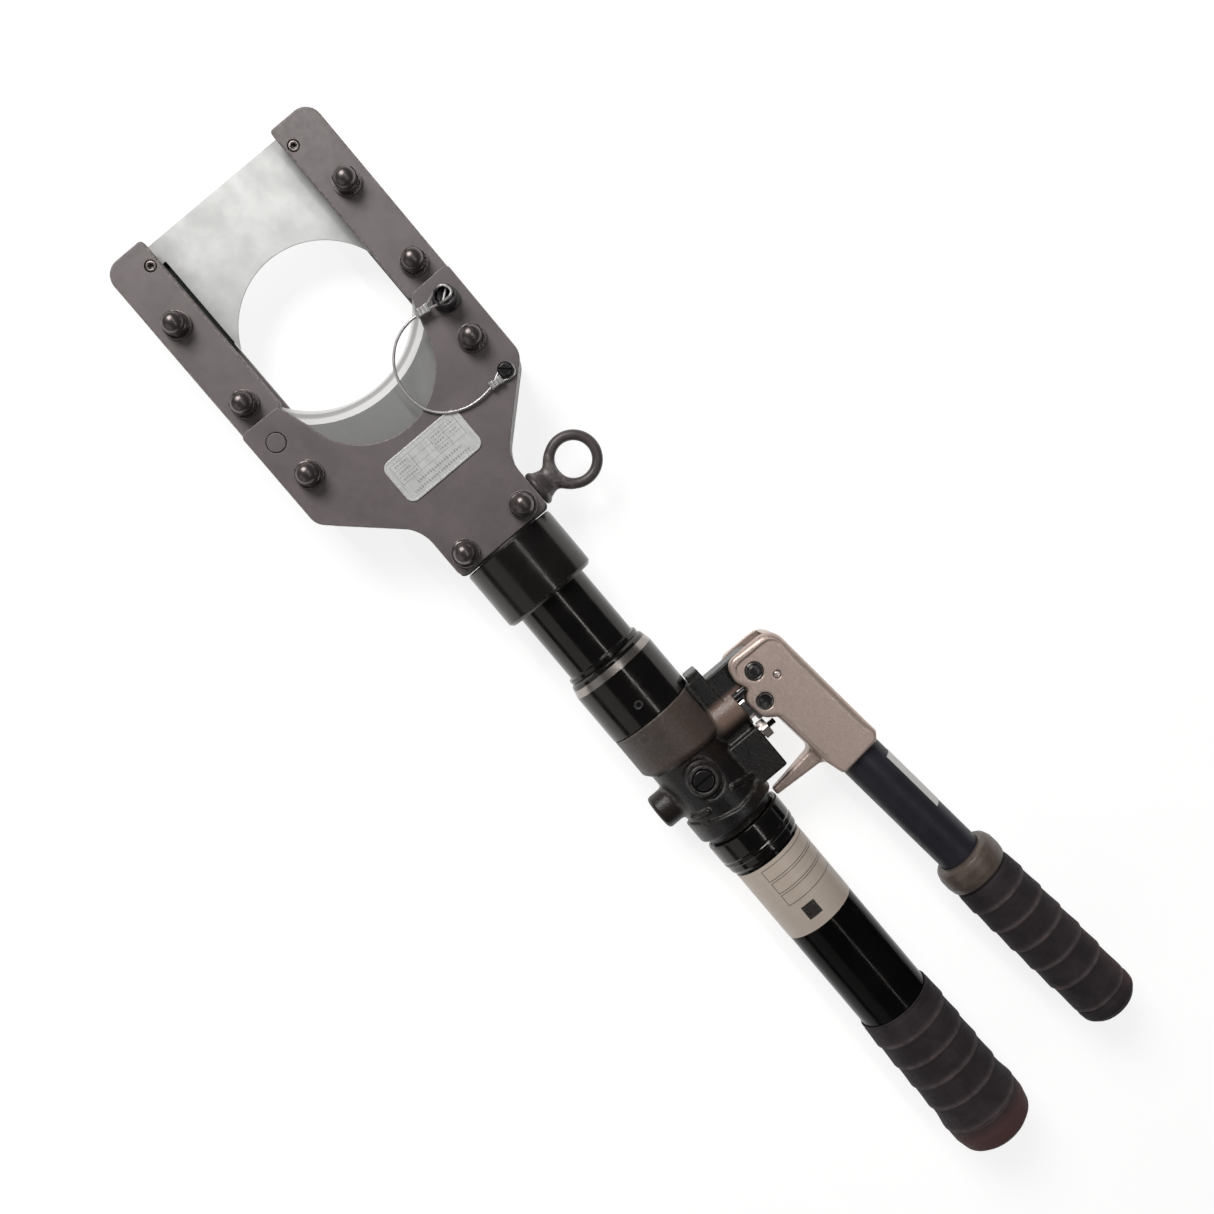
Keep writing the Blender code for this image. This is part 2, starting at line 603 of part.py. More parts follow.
def pump_housing():
    """A turned barrel joined to its bosses, tower and lever bracket, then bored."""
    profile = [(0, 275.6), (19.1, 275.6), (19.1, 245.9), (21.3, 245.9), (21.3, 268.7),
               (25.2, 268.7), (BARREL_R, 269.2), (BARREL_R, 291.5), (24.6, 294.8), (23.4, 297.0),
               (23.4, 325.0), (24.3, 328.0), (24.3, 336.0), (23.2, 341.0), (21.0, 346.6),
               (19.3, 346.6), (19.3, 357.0), (0, 357.0)]
    housing = add(turned(profile, "X", 24), "pump_housing", "cast_black", "pump")
    bracket = rounded([(272.0, 21, 0), (272.0, 68.0, 11.0), (292.0, 68.0, 9.0), (297.0, 57.0, 6.0),
                       (291.5, 46.0, 0), (291.5, 21, 0)], 4)
    side_boss = [(0, -5), (10.2, -5), (10.2, -30.6), (8.6, -32.8), (0, -32.8)]
    relief_boss = [(0, 10), (9.4, 10), (9.4, 24.6), (8.7, 25.3), (0, 25.3)]
    joined = {
        "plunger_boss": cylinder(12.0, 5, 39.5, "Y", 24, (PLUNGER_X, 0, 0)),
        "tower": box((305.0, 5.0, -12.2), (336.8, 38.9, 12.2)),
        "side_boss": turned(side_boss, "Y", 24, (SIDE_X, 0, 0)),
        "relief_boss": turned(relief_boss, "Z", 24, (*RELIEF, 0)),
        "step": box((268.9, 21.0, -BRACKET_HALF), (297.0, 33.9, BRACKET_HALF)),
        "bracket": prism(bracket, -BRACKET_HALF, BRACKET_HALF, [circle(*PIVOT, 3.55, 16)]),
    }
    bore_r = PLUNGER_R + BORE_CLEARANCE
    cut = {
        "plunger_bore": cylinder(bore_r, 8, 75, "Y", 28, (PLUNGER_X, 0, 0)),
        "bracket_slot": box((290.35, 39.9, -9.1), (315.0, 80, 9.1)),
        "side_port": cylinder(7.3, -40, -22, "Y", 16, (SIDE_X, 0, 0)),
        "relief_port": cylinder(6.3, 14, 30, "Z", 20, (*RELIEF, 0)),
        "release_port": cylinder(4.6, 16, 45, "Y", 16, (NUT_X, 0, 0)),
    }
    for kind, shapes in (("UNION", joined), ("DIFFERENCE", cut)):
        for word, shape in shapes.items():
            boolean(housing, kind, helper(shape, "housing_" + word, "pump"))


def lever_pivot_pin():
    profile = [(0, -16.8), (4.8, -16.8), (4.8, -12.1), (3.25, -12.1), (3.25, 12.1), (4.8, 12.1),
               (4.8, 16.8), (0, 16.8)]
    add(turned(profile, "Z", 20), "lever_pivot_pin", "black_steel", "pump", (*PIVOT, 0))


def release_valve():
    """A spring-loaded stem that rises through a nut on top of the tower."""
    nut = [(2.2, 44.3), (5.3, 44.3), (6.1, 43.6), (6.1, 39.8), (4.2, 39.8), (4.2, 24.0),
           (3.4, 24.0), (3.4, 40.5), (2.2, 40.5)]
    add(turned(nut, "Y", 18, (NUT_X, 0, 0), closed=True), "release_valve_nut", "zinc", "pump")
    stem = [(0, 20.5), (2.9, 20.5), (2.9, 23.0), (1.75, 23.0), (1.75, 48.3), (1.3, 49.0), (0, 49.0)]
    add(turned(stem, "Y", 14, (NUT_X, 0, 0)), "release_valve_stem", "black_steel", "release")
    add(coil(16.8, 19.6, radius=2.6, wire_r=0.4, turns=2.5, axis="Y"), "release_valve_spring",
        "tool_steel", "pump", (NUT_X, 0, 0))


def valve_plugs():
    x, y = RELIEF
    profile = [(0, 14.4), (5.9, 14.4), (5.9, 24.0), (5.2, 24.7), (0, 24.7)]
    plug = add(turned(profile, "Z", 20), "relief_valve_plug", "black_steel", "pump", (x, y, 0))
    slot = box((x - 0.7, y - 9, 23.2), (x + 0.7, y + 9, 30))
    boolean(plug, "DIFFERENCE", helper(slot, "relief_slot", "pump"))
    check_plug = [(0, -22.4), (6.9, -22.4), (6.9, -31.6), (3.0, -31.6), (3.0, -28.0), (0, -28.0)]
    add(turned(check_plug, "Y", 18), "check_valve_plug", "black_steel", "pump", (SIDE_X, 0, 0))


def pump_plunger():
    """A round piston with a flat eye on top, whose hole is a slot for the lever's link pin."""
    profile = [(0, 12.0), (PLUNGER_R - 0.6, 12.0), (PLUNGER_R, 12.8), (PLUNGER_R, 43.2), (0, 43.2)]
    plunger = add(turned(profile, "Y", 28, (PLUNGER_X, 0, 0)), "pump_plunger", "chrome", "plunger")
    eye = rounded([(292.4, 42.6, 0), (309.6, 42.6, 1.5), (309.6, 58.2, 4), (292.4, 58.2, 4)], 4)
    slot = rounded([(x, y, 4.9) for x, y in rectangle(294.1, 307.4, 45.75, 56.25)], 4)
    boolean(plunger, "UNION", helper(prism(eye, -7.0, 7.0), "plunger_eye", "plunger"))
    boolean(plunger, "DIFFERENCE", helper(prism(slot, -12.0, 12.0), "plunger_eye_slot", "plunger"))


# ---------------------------------------------------------------- pump lever
def on_lever(shape):
    """Moves a solid turned about X onto the lever tube's axis."""
    bmesh.ops.rotate(shape, cent=(0, 0, 0), verts=shape.verts,
                     matrix=Matrix.Rotation(math.radians(LEVER_ANGLE), 3, "Z"))
    bmesh.ops.translate(shape, vec=(*LEVER_REF, 0), verts=shape.verts)
    return shape


def lever_casting():
    outline = rounded([
        (272.8, 77.2, 12.0), (352.0, 86.0, 0), (356.4, 83.6, 0), (358.8, 60.4, 4.0),
        (349.5, 55.9, 3.0), (313.6, 51.4, 3.0), (308.6, 44.6, 6.5), (295.2, 43.0, 6.0),
        (291.4, 48.4, 2.0), (284.0, 45.2, 7.0), (272.8, 47.2, 7.0)], 4)
    cavity = rounded([(265.0, 40.0, 0), (265.0, 72.6, 0), (283.0, 74.2, 6), (319.5, 75.5, 6),
                      (319.5, 40.0, 0)], 4)
    # A narrow finger that reaches down towards the pump body.
    spur = rounded([(340.0, 60, 0), (341.2, 50.0, 0), (344.6, 23.9, 0.8), (348.8, 23.9, 0.8),
                    (349.6, 60, 0)], 3)
    casting = add(prism(outline, -16.2, 16.2), "lever_casting", "lever_paint", "lever")
    boolean(casting, "UNION", helper(prism(spur, -8.0, 8.0), "lever_spur", "lever"))
    cut = {
        "cavity": prism(cavity, -12.0, 12.0),
        "pivot_hole": cylinder(5.1, -30, 30, "Z", 20, (*PIVOT, 0)),
        "link_hole": cylinder(4.75, -30, 30, "Z", 20, (*LINK, 0)),
        "socket": on_lever(cylinder(LEVER_TUBE_R + 0.3, -42, 10, "X", 28)),
        "screw_hole": cylinder(1.9, 12, 20, "Z", 10, (*LOCK_SCREW, 0)),
    }
    for word, shape in cut.items():
        boolean(casting, "DIFFERENCE", helper(shape, "lever_" + word, "lever"))


def lever_fittings():
    add(cylinder(4.4, -16.4, 16.4, "Z", 20), "lever_link_pin", "black_steel", "lever", (*LINK, 0))
    add(cylinder(1.55, 12.4, 16.0, "Z", 10), "lever_lock_screw", "zinc", "lever", (*LOCK_SCREW, 0))
    inner_r = LEVER_TUBE_R - 2
    tube = [(LEVER_TUBE_R, -41.6), (LEVER_TUBE_R, 187.5), (inner_r, 187.5), (inner_r, -41.6)]
    add(on_lever(turned(tube, "X", 24, closed=True)), "lever_tube", "tube_black", "lever")
    grip = [(0, 187.9), (13.1, 187.9), (13.1, 71.0), (15.6, 71.0), (18.6, 75.5), (19.0, 83.0),
            (18.4, 89.0), (16.9, 91.5), (18.3, 94.5), (18.1, 155.0), (17.7, 180.0), (17.2, 186.0),
            (17.6, 191.0), (15.0, 195.1), (10.0, 196.5), (0, 196.5)]
    add(on_lever(turned(grip, "X", 24)), "lever_grip", "rubber", "lever")


# ---------------------------------------------------------------- reservoir and handle
def reservoir():
    collar = [(21.65, 347.0), (23.3, 347.0), (23.3, 362.4), (22.6, 365.4), (21.65, 366.6)]
    add(turned(collar, "X", 24, closed=True), "reservoir_collar", "black_gloss", "pump")
    tube = [(0, 564.7), (19.7, 564.7), (19.7, 347.2), (RESERVOIR_R, 347.2), (RESERVOIR_R, 567.2),
            (0, 567.2)]
    add(turned(tube, "X", 24), "reservoir_tube", "chrome", "pump")
    bladder = [(0, 362), (14, 364), (17.5, 370), (17.5, 542), (14, 550), (0, 552)]
    add(turned(bladder, "X", 16), "reservoir_bladder", "seal", "pump")


def handle_grip():
    profile = [(0, 567.6), (21.6, 567.6), (21.6, 479.5), (22.3, 479.5), (GRIP_R, 482.5),
               (GRIP_R, 541.0), (24.0, 553.0), (23.8, 564.0), (22.0, 571.7), (17.5, 575.4),
               (12.0, HANDLE_END), (0, HANDLE_END)]
    add(turned(profile, "X", 24), "handle_grip", "rubber", "pump")


build_gate()
build_yoke()
cylinder_parts()
ram()
moving_blade()
swivel_sleeve()
pump_housing()
lever_pivot_pin()
release_valve()
valve_plugs()
pump_plunger()
lever_casting()
lever_fittings()
reservoir()
handle_grip()
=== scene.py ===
"""A hand-pumped hydraulic cutter with a round jaw, lying flat.

+X runs from the jaw to the handle, +Y to the pump lever, +Z out of the front. Shapes are in
millimetres about the jaw centre; make() turns them into metres in the frame.
"""
import math
from functools import cached_property, reduce

import bmesh
import bpy
import numpy as np
from mathutils import Matrix, Vector

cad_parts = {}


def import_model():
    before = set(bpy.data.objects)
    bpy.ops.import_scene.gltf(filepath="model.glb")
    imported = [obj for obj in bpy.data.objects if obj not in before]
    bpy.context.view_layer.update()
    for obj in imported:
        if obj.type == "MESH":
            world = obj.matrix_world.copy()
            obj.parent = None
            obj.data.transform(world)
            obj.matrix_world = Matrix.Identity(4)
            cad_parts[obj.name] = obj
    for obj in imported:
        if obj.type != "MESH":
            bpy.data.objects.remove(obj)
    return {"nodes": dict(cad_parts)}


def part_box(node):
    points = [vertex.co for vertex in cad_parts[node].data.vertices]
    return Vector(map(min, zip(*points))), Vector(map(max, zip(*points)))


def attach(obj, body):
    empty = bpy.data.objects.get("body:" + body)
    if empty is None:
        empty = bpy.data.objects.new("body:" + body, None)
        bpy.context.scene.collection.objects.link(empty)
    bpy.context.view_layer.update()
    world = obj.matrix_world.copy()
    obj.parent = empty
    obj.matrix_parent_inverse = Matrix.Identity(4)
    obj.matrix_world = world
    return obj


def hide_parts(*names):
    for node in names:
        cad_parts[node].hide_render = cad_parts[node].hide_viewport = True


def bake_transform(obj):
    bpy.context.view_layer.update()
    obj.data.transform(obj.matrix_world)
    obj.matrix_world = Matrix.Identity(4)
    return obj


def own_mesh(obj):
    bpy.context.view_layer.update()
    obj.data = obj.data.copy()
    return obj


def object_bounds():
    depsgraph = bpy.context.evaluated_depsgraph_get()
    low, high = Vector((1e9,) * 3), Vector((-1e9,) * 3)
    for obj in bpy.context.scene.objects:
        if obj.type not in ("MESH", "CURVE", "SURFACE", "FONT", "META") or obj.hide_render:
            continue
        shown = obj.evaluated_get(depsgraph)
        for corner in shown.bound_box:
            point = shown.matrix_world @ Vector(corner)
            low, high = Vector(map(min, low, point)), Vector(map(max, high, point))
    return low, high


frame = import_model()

CAD_LO, CAD_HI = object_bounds()

MM = 0.001
HANDLE_END = 576.0
JAW_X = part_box("handle_grip")[1].x - HANDLE_END * MM    # the jaw centre's x in the frame, metres


def world(point):
    """A millimetre point about the jaw centre as metres in the frame."""
    return Vector((point[0] * MM + JAW_X, point[1] * MM, point[2] * MM))


# =============================================================== node materials
class Look:
    """A node material. Its coordinates are the mesh's own, in metres."""

    def __init__(self, name):
        self.material = bpy.data.materials.new(name)
        self.material.use_nodes = True
        self.tree = self.material.node_tree
        self.shader = self.tree.nodes["Principled BSDF"]
        self.coords = self.node("TexCoord").outputs["Object"]
        self.normal = None

    def node(self, kind):
        return self.tree.nodes.new("ShaderNode" + kind)

    def feed(self, socket, value):
        """Links a socket, or sets a number or an RGB colour."""
        if isinstance(value, bpy.types.NodeSocket):
            self.tree.links.new(value, socket)
        else:
            socket.default_value = (*value, 1) if isinstance(value, tuple) else value

    def put(self, key, value):
        self.feed(self.shader.inputs[key], value)

    def surface(self, colour, rough, metallic=0.0, specular=0.5):
        self.put("Base Color", colour)
        self.put("Roughness", rough)
        self.put("Metallic", metallic)
        self.put("Specular IOR Level", specular)

    def noise(self, scale=1.0, detail=3.0, rough=0.55, warp=0.0, stretch=None, turn=0.0):
        """Noise, its coordinates optionally scaled per axis and turned about Z in radians."""
        coords = self.coords
        if stretch:
            mapping = self.node("Mapping")
            mapping.inputs["Scale"].default_value = stretch
            mapping.inputs["Rotation"].default_value = (0, 0, turn)
            self.feed(mapping.inputs["Vector"], coords)
            coords = mapping.outputs[0]
        noise = self.node("TexNoise")
        for key, value in (("Scale", scale), ("Detail", detail), ("Roughness", rough),
                           ("Distortion", warp), ("Vector", coords)):
            self.feed(noise.inputs[key], value)
        return noise.outputs["Fac"]

    def cells(self, scale):
        voronoi = self.node("TexVoronoi")
        voronoi.inputs["Scale"].default_value = scale
        self.feed(voronoi.inputs["Vector"], self.coords)
        return voronoi.outputs["Distance"]

    def calc(self, operation, one, two=0.0):
        node = self.node("Math")
        node.operation = operation
        self.feed(node.inputs[0], one)
        self.feed(node.inputs[1], two)
        return node.outputs[0]

    def mul(self, *values):
        return reduce(lambda one, two: self.calc("MULTIPLY", one, two), values)

    def most(self, *values):
        return reduce(lambda one, two: self.calc("MAXIMUM", one, two), values)

    def between(self, value, low, high):
        return self.mul(self.calc("GREATER_THAN", value, low), self.calc("LESS_THAN", value, high))

    def line(self, value, at, half):
        """1 within `half` of `at`."""
        out = self.calc("COMPARE", value, at)
        out.node.inputs[2].default_value = half
        return out

    def fit(self, value, over, to=(0.0, 1.0)):
        """Eases a value from the range `over` to the range `to`."""
        node = self.node("MapRange")
        node.interpolation_type = "SMOOTHSTEP"
        for socket, number in zip(node.inputs, (value, *over, *to)):
            self.feed(socket, number)
        return node.outputs[0]

    def patches(self, over, to=(0.0, 1.0), **noise):
        return self.fit(self.noise(**noise), over, to)

    @cached_property
    def wear(self):
        node = self.node("Attribute")
        node.attribute_name = "wear"
        return node.outputs["Fac"]

    def worn(self, **patches):
        """Patches kept to where the mesh is marked as worn."""
        return self.mul(self.wear, self.patches(**patches))

    def mix(self, share, first, second):
        node = self.node("Mix")
        node.data_type = "RGBA"
        for index, value in ((0, share), (6, first), (7, second)):
            self.feed(node.inputs[index], value)
        return node.outputs[2]

    @cached_property
    def xyz(self):
        node = self.node("SeparateXYZ")
        self.feed(node.inputs[0], self.coords)
        return node.outputs

    def mm(self, axis, zero=None):
        """A coordinate in millimetres, counted from `zero` in metres."""
        value = self.xyz[axis]
        if zero is not None:
            value = self.calc("SUBTRACT", value, zero)
        return self.calc("DIVIDE", value, MM)

    def bump(self, height, distance, strength):
        """Adds a bump on top of those before it."""
        node = self.node("Bump")
        node.inputs["Strength"].default_value = strength
        node.inputs["Distance"].default_value = distance
        self.feed(node.inputs["Height"], height)
        if self.normal:
            self.feed(node.inputs["Normal"], self.normal)
        self.normal = node.outputs[0]
        self.put("Normal", self.normal)


def scaled(colour, factor):
    return tuple(min(1.0, channel * factor) for channel in colour)


def paint(name, base, rough=0.45, rub_to=(0.42, 0.38, 0.35), rub=0.5, mottle=0.12, specular=0.5,
          grain=1400.0, depth=0.00004):
    """Sprayed paint on steel: faint cloudiness, orange peel, fine dust and rubbed edges."""
    look = Look(name)
    cloud = look.patches(scale=38.0, detail=4.0, rough=0.6, warp=0.4, over=(0.3, 0.7))
    colour = look.mix(cloud, scaled(base, 1 - mottle), scaled(base, 1 + mottle))
    speck = look.patches(scale=2600.0, detail=2.0, rough=0.6, over=(0.62, 0.78), to=(0.0, 0.22))
    colour = look.mix(speck, colour, scaled(base, 1.7))
    worn = look.worn(scale=520.0, detail=4.0, rough=0.65, over=(0.36, 0.66))
    colour = look.mix(look.mul(worn, rub), colour, rub_to)
    gloss_patches = look.patches(scale=210.0, detail=4.0, rough=0.6, over=(0.25, 0.75),
                                 to=(rough - 0.07, rough + 0.09))
    look.surface(colour, gloss_patches, specular=specular)
    look.bump(look.noise(scale=grain, rough=0.5), distance=depth, strength=0.6)
    return look.material


def boss_sheen_mask(look):
    """Painted sheen: the front of the plunger boss, with soft edges."""
    x, y = look.mm(0, zero=JAW_X), look.mm(1, zero=0.0)
    return look.mul(look.fit(x, over=(285.0, 289.0)),
                    look.fit(x, over=(297.0, 304.0), to=(1.0, 0.0)),
                    look.mul(look.fit(y, over=(18.0, 27.0)),
                             look.fit(look.xyz[2], over=(5 * MM, 9 * MM))))


def cast(name, base, rough, light, grain=900.0, depth=0.00022, metallic=0.0, tint=None,
         specular=0.5, rub=0.35, blotch=0.2, pebble_glint=0.5, rub_to=None, boss=None):
    """Painted sand casting: pebbly skin with painted glints on its high spots, and lighter edges.
    """
    look = Look(name)
    pebble = look.noise(scale=grain, rough=0.62)
    coarse = look.noise(scale=grain * 0.33, detail=2.0, rough=0.5)
    colour = look.mix(look.fit(coarse, over=(0.3, 0.7)),
                      scaled(base, 1 - blotch), scaled(base, 1 + blotch))
    if tint:
        cloud = look.patches(scale=26.0, detail=2.0, rough=0.5, over=(0.4, 0.65))
        colour = look.mix(cloud, colour, tint)
    # Painted highlight: the pebbles' high spots are lightened by `light` as glints.
    colour = look.mix(look.fit(pebble, over=(0.56, 0.72), to=(0.0, pebble_glint)),
                      colour, scaled(base, light))
    # Painted sheen: the boss colour is a warm highlight on the plunger boss's front.
    if boss:
        colour = look.mix(look.mul(boss_sheen_mask(look), 0.85), colour, boss)
    # Lighter edges: partly rubbed wear, partly painted edge highlight (strong on the black
    # casting).
    worn = look.worn(scale=420.0, detail=4.0, rough=0.6, over=(0.35, 0.62), to=(0.0, rub))
    colour = look.mix(worn, colour, rub_to or scaled(base, light * 1.6))
    look.surface(colour, look.fit(pebble, over=(0.3, 0.75), to=(rough + 0.08, rough - 0.1)),
                 metallic, specular)
    look.bump(coarse, distance=depth * 0.8, strength=0.5)
    look.bump(pebble, distance=depth, strength=0.85)
    return look.material


def rail_shade_mask(look):
    """Painted shade from the guide rails: a mask that rises towards them, from 29 to 44 mm off the
    middle.
    """
    off = look.calc("DIVIDE", look.calc("ABSOLUTE", look.xyz[1]), MM)
    ragged = look.calc("SUBTRACT", look.noise(scale=45.0, detail=4.0, rough=0.6), 0.5)
    return look.calc("ADD", off, look.mul(ragged, 16.0))


def metal(name, base, rough, brush=None, mottle=0.1, metallic=1.0, scratch=0.25, depth=0.000012,
          stain=None, rub=0.0, grain=26.0, warp=0.8, film=0.0):
    """Bare or plated steel: cloudy tone, grinding lines and a few long scratches."""
    look = Look(name)
    cloud = look.noise(scale=grain, detail=5.0, rough=0.62, warp=warp)
    colour = look.mix(look.fit(cloud, over=(0.3, 0.72)),
                      scaled(base, 1 - mottle), scaled(base, 1 + mottle))
    roughness = look.fit(cloud, over=(0.25, 0.8), to=(rough + 0.06, rough - 0.05))
    if brush:
        lines = look.noise(rough=0.7, stretch=brush)
        colour = look.mix(look.fit(lines, over=(0.35, 0.68), to=(0.0, 0.35)),
                          colour, scaled(base, 0.72))
        roughness = look.calc("ADD", roughness, look.fit(lines, over=(0.3, 0.7), to=(-0.05, 0.07)))
        look.bump(lines, distance=depth, strength=0.7)
    if scratch:
        hair = look.patches(detail=2.0, rough=0.5, stretch=(60, 1500, 300), turn=0.4,
                            over=(0.71, 0.74), to=(0.0, scratch))
        colour = look.mix(hair, colour, scaled(base, 1.5))
    if stain:
        colour = look.mix(look.patches(scale=14.0, detail=5.0, rough=0.62, warp=0.15,
                                       over=(0.46, 0.74), to=(0.0, 0.4)), colour, stain)
    # Painted shade: film darkens the steel towards the guide rails, where they shadow the blade.
    if film:
        colour = look.mix(look.fit(rail_shade_mask(look), over=(29.0, 44.0), to=(0.0, film)),
                          colour, scaled(base, 0.42))
    if rub:
        worn = look.worn(scale=700.0, rough=0.6, over=(0.35, 0.6), to=(0.0, rub))
        colour = look.mix(worn, colour, (0.5, 0.48, 0.46))
    look.surface(colour, roughness, metallic)
    look.bump(look.noise(scale=2100.0, detail=2.0, rough=0.5), distance=depth, strength=0.4)
    return look.material


def rubber(name, base, rough=0.72, tip=None, tip_axis=0, tip_over=None,
           rim=(0.16, 0.125, 0.125), specular=0.2):
    """Moulded rubber: fine pitted skin, a painted highlight on the marked high spots, scuffs.

    The tip colour fades in along `tip_axis` over the range `tip_over`, in metres.
    """
    look = Look(name)
    cloud = look.patches(scale=55.0, detail=5.0, rough=0.65, warp=0.6, over=(0.32, 0.7))
    colour = look.mix(cloud, scaled(base, 0.78), scaled(base, 1.3))
    if tip:
        colour = look.mix(look.fit(look.xyz[tip_axis], over=tip_over, to=(0.0, 0.85)), colour, tip)
    # Painted highlight: the marked lips before each groove are lightened towards `rim`.
    lip_highlight = look.worn(scale=160.0, detail=4.0, rough=0.6, over=(0.25, 0.7), to=(0.25, 0.8))
    colour = look.mix(lip_highlight, colour, rim)
    scuff = look.patches(scale=95.0, detail=5.0, rough=0.7, warp=1.5, over=(0.63, 0.72),
                         to=(0.0, 0.5))
    colour = look.mix(scuff, colour, scaled(base, 0.45))
    look.surface(colour, look.patches(scale=480.0, rough=0.6, over=(0.25, 0.75),
                                      to=(rough - 0.1, rough + 0.1)), specular=specular)
    look.bump(look.noise(scale=1700.0, rough=0.6), distance=0.00009, strength=0.6)
    look.bump(look.noise(scale=260.0, rough=0.5), distance=0.00012, strength=0.35)
    return look.material


def gloss(name, base, rough=0.13, specular=0.5, ior=1.5):
    """Stoved black enamel: deep gloss with ripple, dust and hairlines round the tube."""
    look = Look(name)
    cloud = look.patches(scale=30.0, rough=0.6, over=(0.3, 0.7))
    colour = look.mix(cloud, scaled(base, 0.8), scaled(base, 1.25))
    dust = look.fit(look.cells(scale=900.0), over=(0.0, 0.10), to=(0.05, 0.0))
    colour = look.mix(dust, colour, (0.22, 0.21, 0.2))
    worn = look.worn(scale=600.0, rough=0.6, over=(0.42, 0.62), to=(0.0, 0.12))
    colour = look.mix(worn, colour, (0.3, 0.28, 0.26))
    hair = look.patches(detail=2.0, rough=0.5, stretch=(1800, 60, 60),
                        over=(0.66, 0.74), to=(0.0, 0.12))
    ripple = look.patches(scale=90.0, detail=4.0, rough=0.6, over=(0.3, 0.75),
                          to=(rough - 0.03, rough + 0.08))
    look.surface(colour, look.calc("ADD", ripple, hair), specular=specular)
    look.put("IOR", ior)
    look.put("Specular Tint", (1.0, 0.93, 0.88))
    look.bump(look.noise(scale=240.0, detail=2.0, rough=0.4), distance=0.00002, strength=0.35)
    return look.material


BEVEL_X = -14.5    # centre of the moving blade's bevel


def edge_material():
    """Ground bevel, its near-white base a painted highlight: bands that run along the cutting arc.
    """
    look = Look("blade_ground_edge")
    x, y = look.mm(0, zero=JAW_X + BEVEL_X * MM), look.mm(1)
    radius = look.calc("SQRT", look.calc("ADD", look.mul(x, x), look.mul(y, y)))
    wave = look.mul(look.calc("SUBTRACT", look.noise(scale=9.0, detail=2.0), 0.5), 3.2)
    radius = look.calc("ADD", radius, wave)
    grey = look.mul(look.fit(radius, over=(55.9, 57.0)),
                    look.fit(radius, over=(58.4, 60.0), to=(1.0, 0.0)))
    fine = look.fit(look.calc("FRACT", look.mul(radius, 1.7)), over=(0.2, 0.8), to=(0.0, 0.10))
    # The near-white colour is a painted highlight of the ground bevel.
    colour = look.mix(look.most(look.mul(grey, 0.72), fine), (0.95, 0.95, 0.95), (0.33, 0.33, 0.33))
    look.surface(colour, rough=0.32, metallic=0.2)
    look.bump(look.noise(scale=1800.0, detail=2.0), distance=0.00001, strength=0.4)
    return look.material


def label_material():
    """Metallised film with a ruled blank form, its columns placed by x and by angle round X."""
    form_rows = ((371.0, 378.0), (379.4, 386.4), (387.8, 394.8))    # x from, to
    look = Look("label_film")
    x, z = look.mm(0, zero=JAW_X), look.xyz[2]
    angle = look.calc("ARCTAN2", look.xyz[1], z)
    grain = look.patches(rough=0.6, stretch=(900, 40, 40), over=(0.3, 0.7))
    base = look.mix(grain, (0.60, 0.51, 0.435), (0.64, 0.545, 0.465))
    rules = look.most(*(look.line(x, at, half=0.17) for row in form_rows for at in row))
    rules = look.mul(rules, look.between(angle, -0.48, 1.25))
    rows = look.most(*(look.between(x, low, high) for low, high in form_rows))
    end_rule = look.mul(look.line(angle, at=-0.47, half=0.009), rows)
    square = look.mul(look.between(x, 399.2, 407.6), look.between(angle, -0.28, 0.12))
    ink = look.mul(look.most(rules, end_rule, square), look.calc("GREATER_THAN", z, 0.0),
                   look.patches(scale=1500.0, detail=2.0, over=(0.2, 0.5), to=(0.75, 1.0)))
    look.surface(look.mix(ink, base, (0.03, 0.026, 0.026)),
                 look.patches(scale=300.0, over=(0.3, 0.7), to=(0.30, 0.42)))
    look.bump(look.noise(detail=2.0, rough=0.5, stretch=(2600, 90, 90)),
              distance=0.00001, strength=0.5)
    return look.material


def plate_material():
    """Name plate aluminium with a ruled form and rows of short dashes."""
    columns, form_end = (80.2, 84.0, 87.8, 91.6), 21.2
    crossings = (-form_end, -9.0, 4.0, 12.5, form_end)
    dashes = (    # x, y from, y to
        (82.1, -19.5, -11.0), (85.9, -19.5, -12.0), (89.7, -19.5, -10.5), (82.1, 5.2, 11.3),
        (85.9, 5.2, 11.0), (82.1, 13.6, 19.8), (85.9, 13.6, 19.5), (89.7, 5.4, 11.0),
        (95.0, -15.0, 15.0), (98.4, -19.0, 18.0))
    look = Look("name_plate_aluminium")
    x, y = look.mm(0, zero=JAW_X), look.mm(1)
    grain = look.patches(rough=0.6, stretch=(60, 1100, 60), over=(0.3, 0.7))
    base = look.mix(grain, (0.64, 0.645, 0.645), (0.75, 0.755, 0.755))
    rules = [look.mul(look.line(x, at, half=0.14), look.between(y, -form_end, form_end))
             for at in columns]
    rules += [look.mul(look.line(y, at, half=0.14), look.between(x, columns[0], columns[-1]))
              for at in crossings]
    dash = look.calc("LESS_THAN", look.calc("FRACT", look.mul(y, 0.62)), 0.62)
    rows = look.most(*(look.mul(look.line(x, at, half=0.55 if at < 94 else 0.7),
                                look.between(y, low, high)) for at, low, high in dashes))
    ink = look.mul(look.most(look.most(*rules), look.mul(rows, dash, 0.7)), 0.72)
    inked = look.mix(ink, base, (0.16, 0.16, 0.165))
    look.surface(look.mix(look.mul(look.wear, 0.5), inked, (0.9, 0.9, 0.9)),
                 look.patches(scale=260.0, over=(0.3, 0.7), to=(0.36, 0.48)), metallic=0.35)
    look.bump(ink, distance=0.00003, strength=0.6)
    return look.material


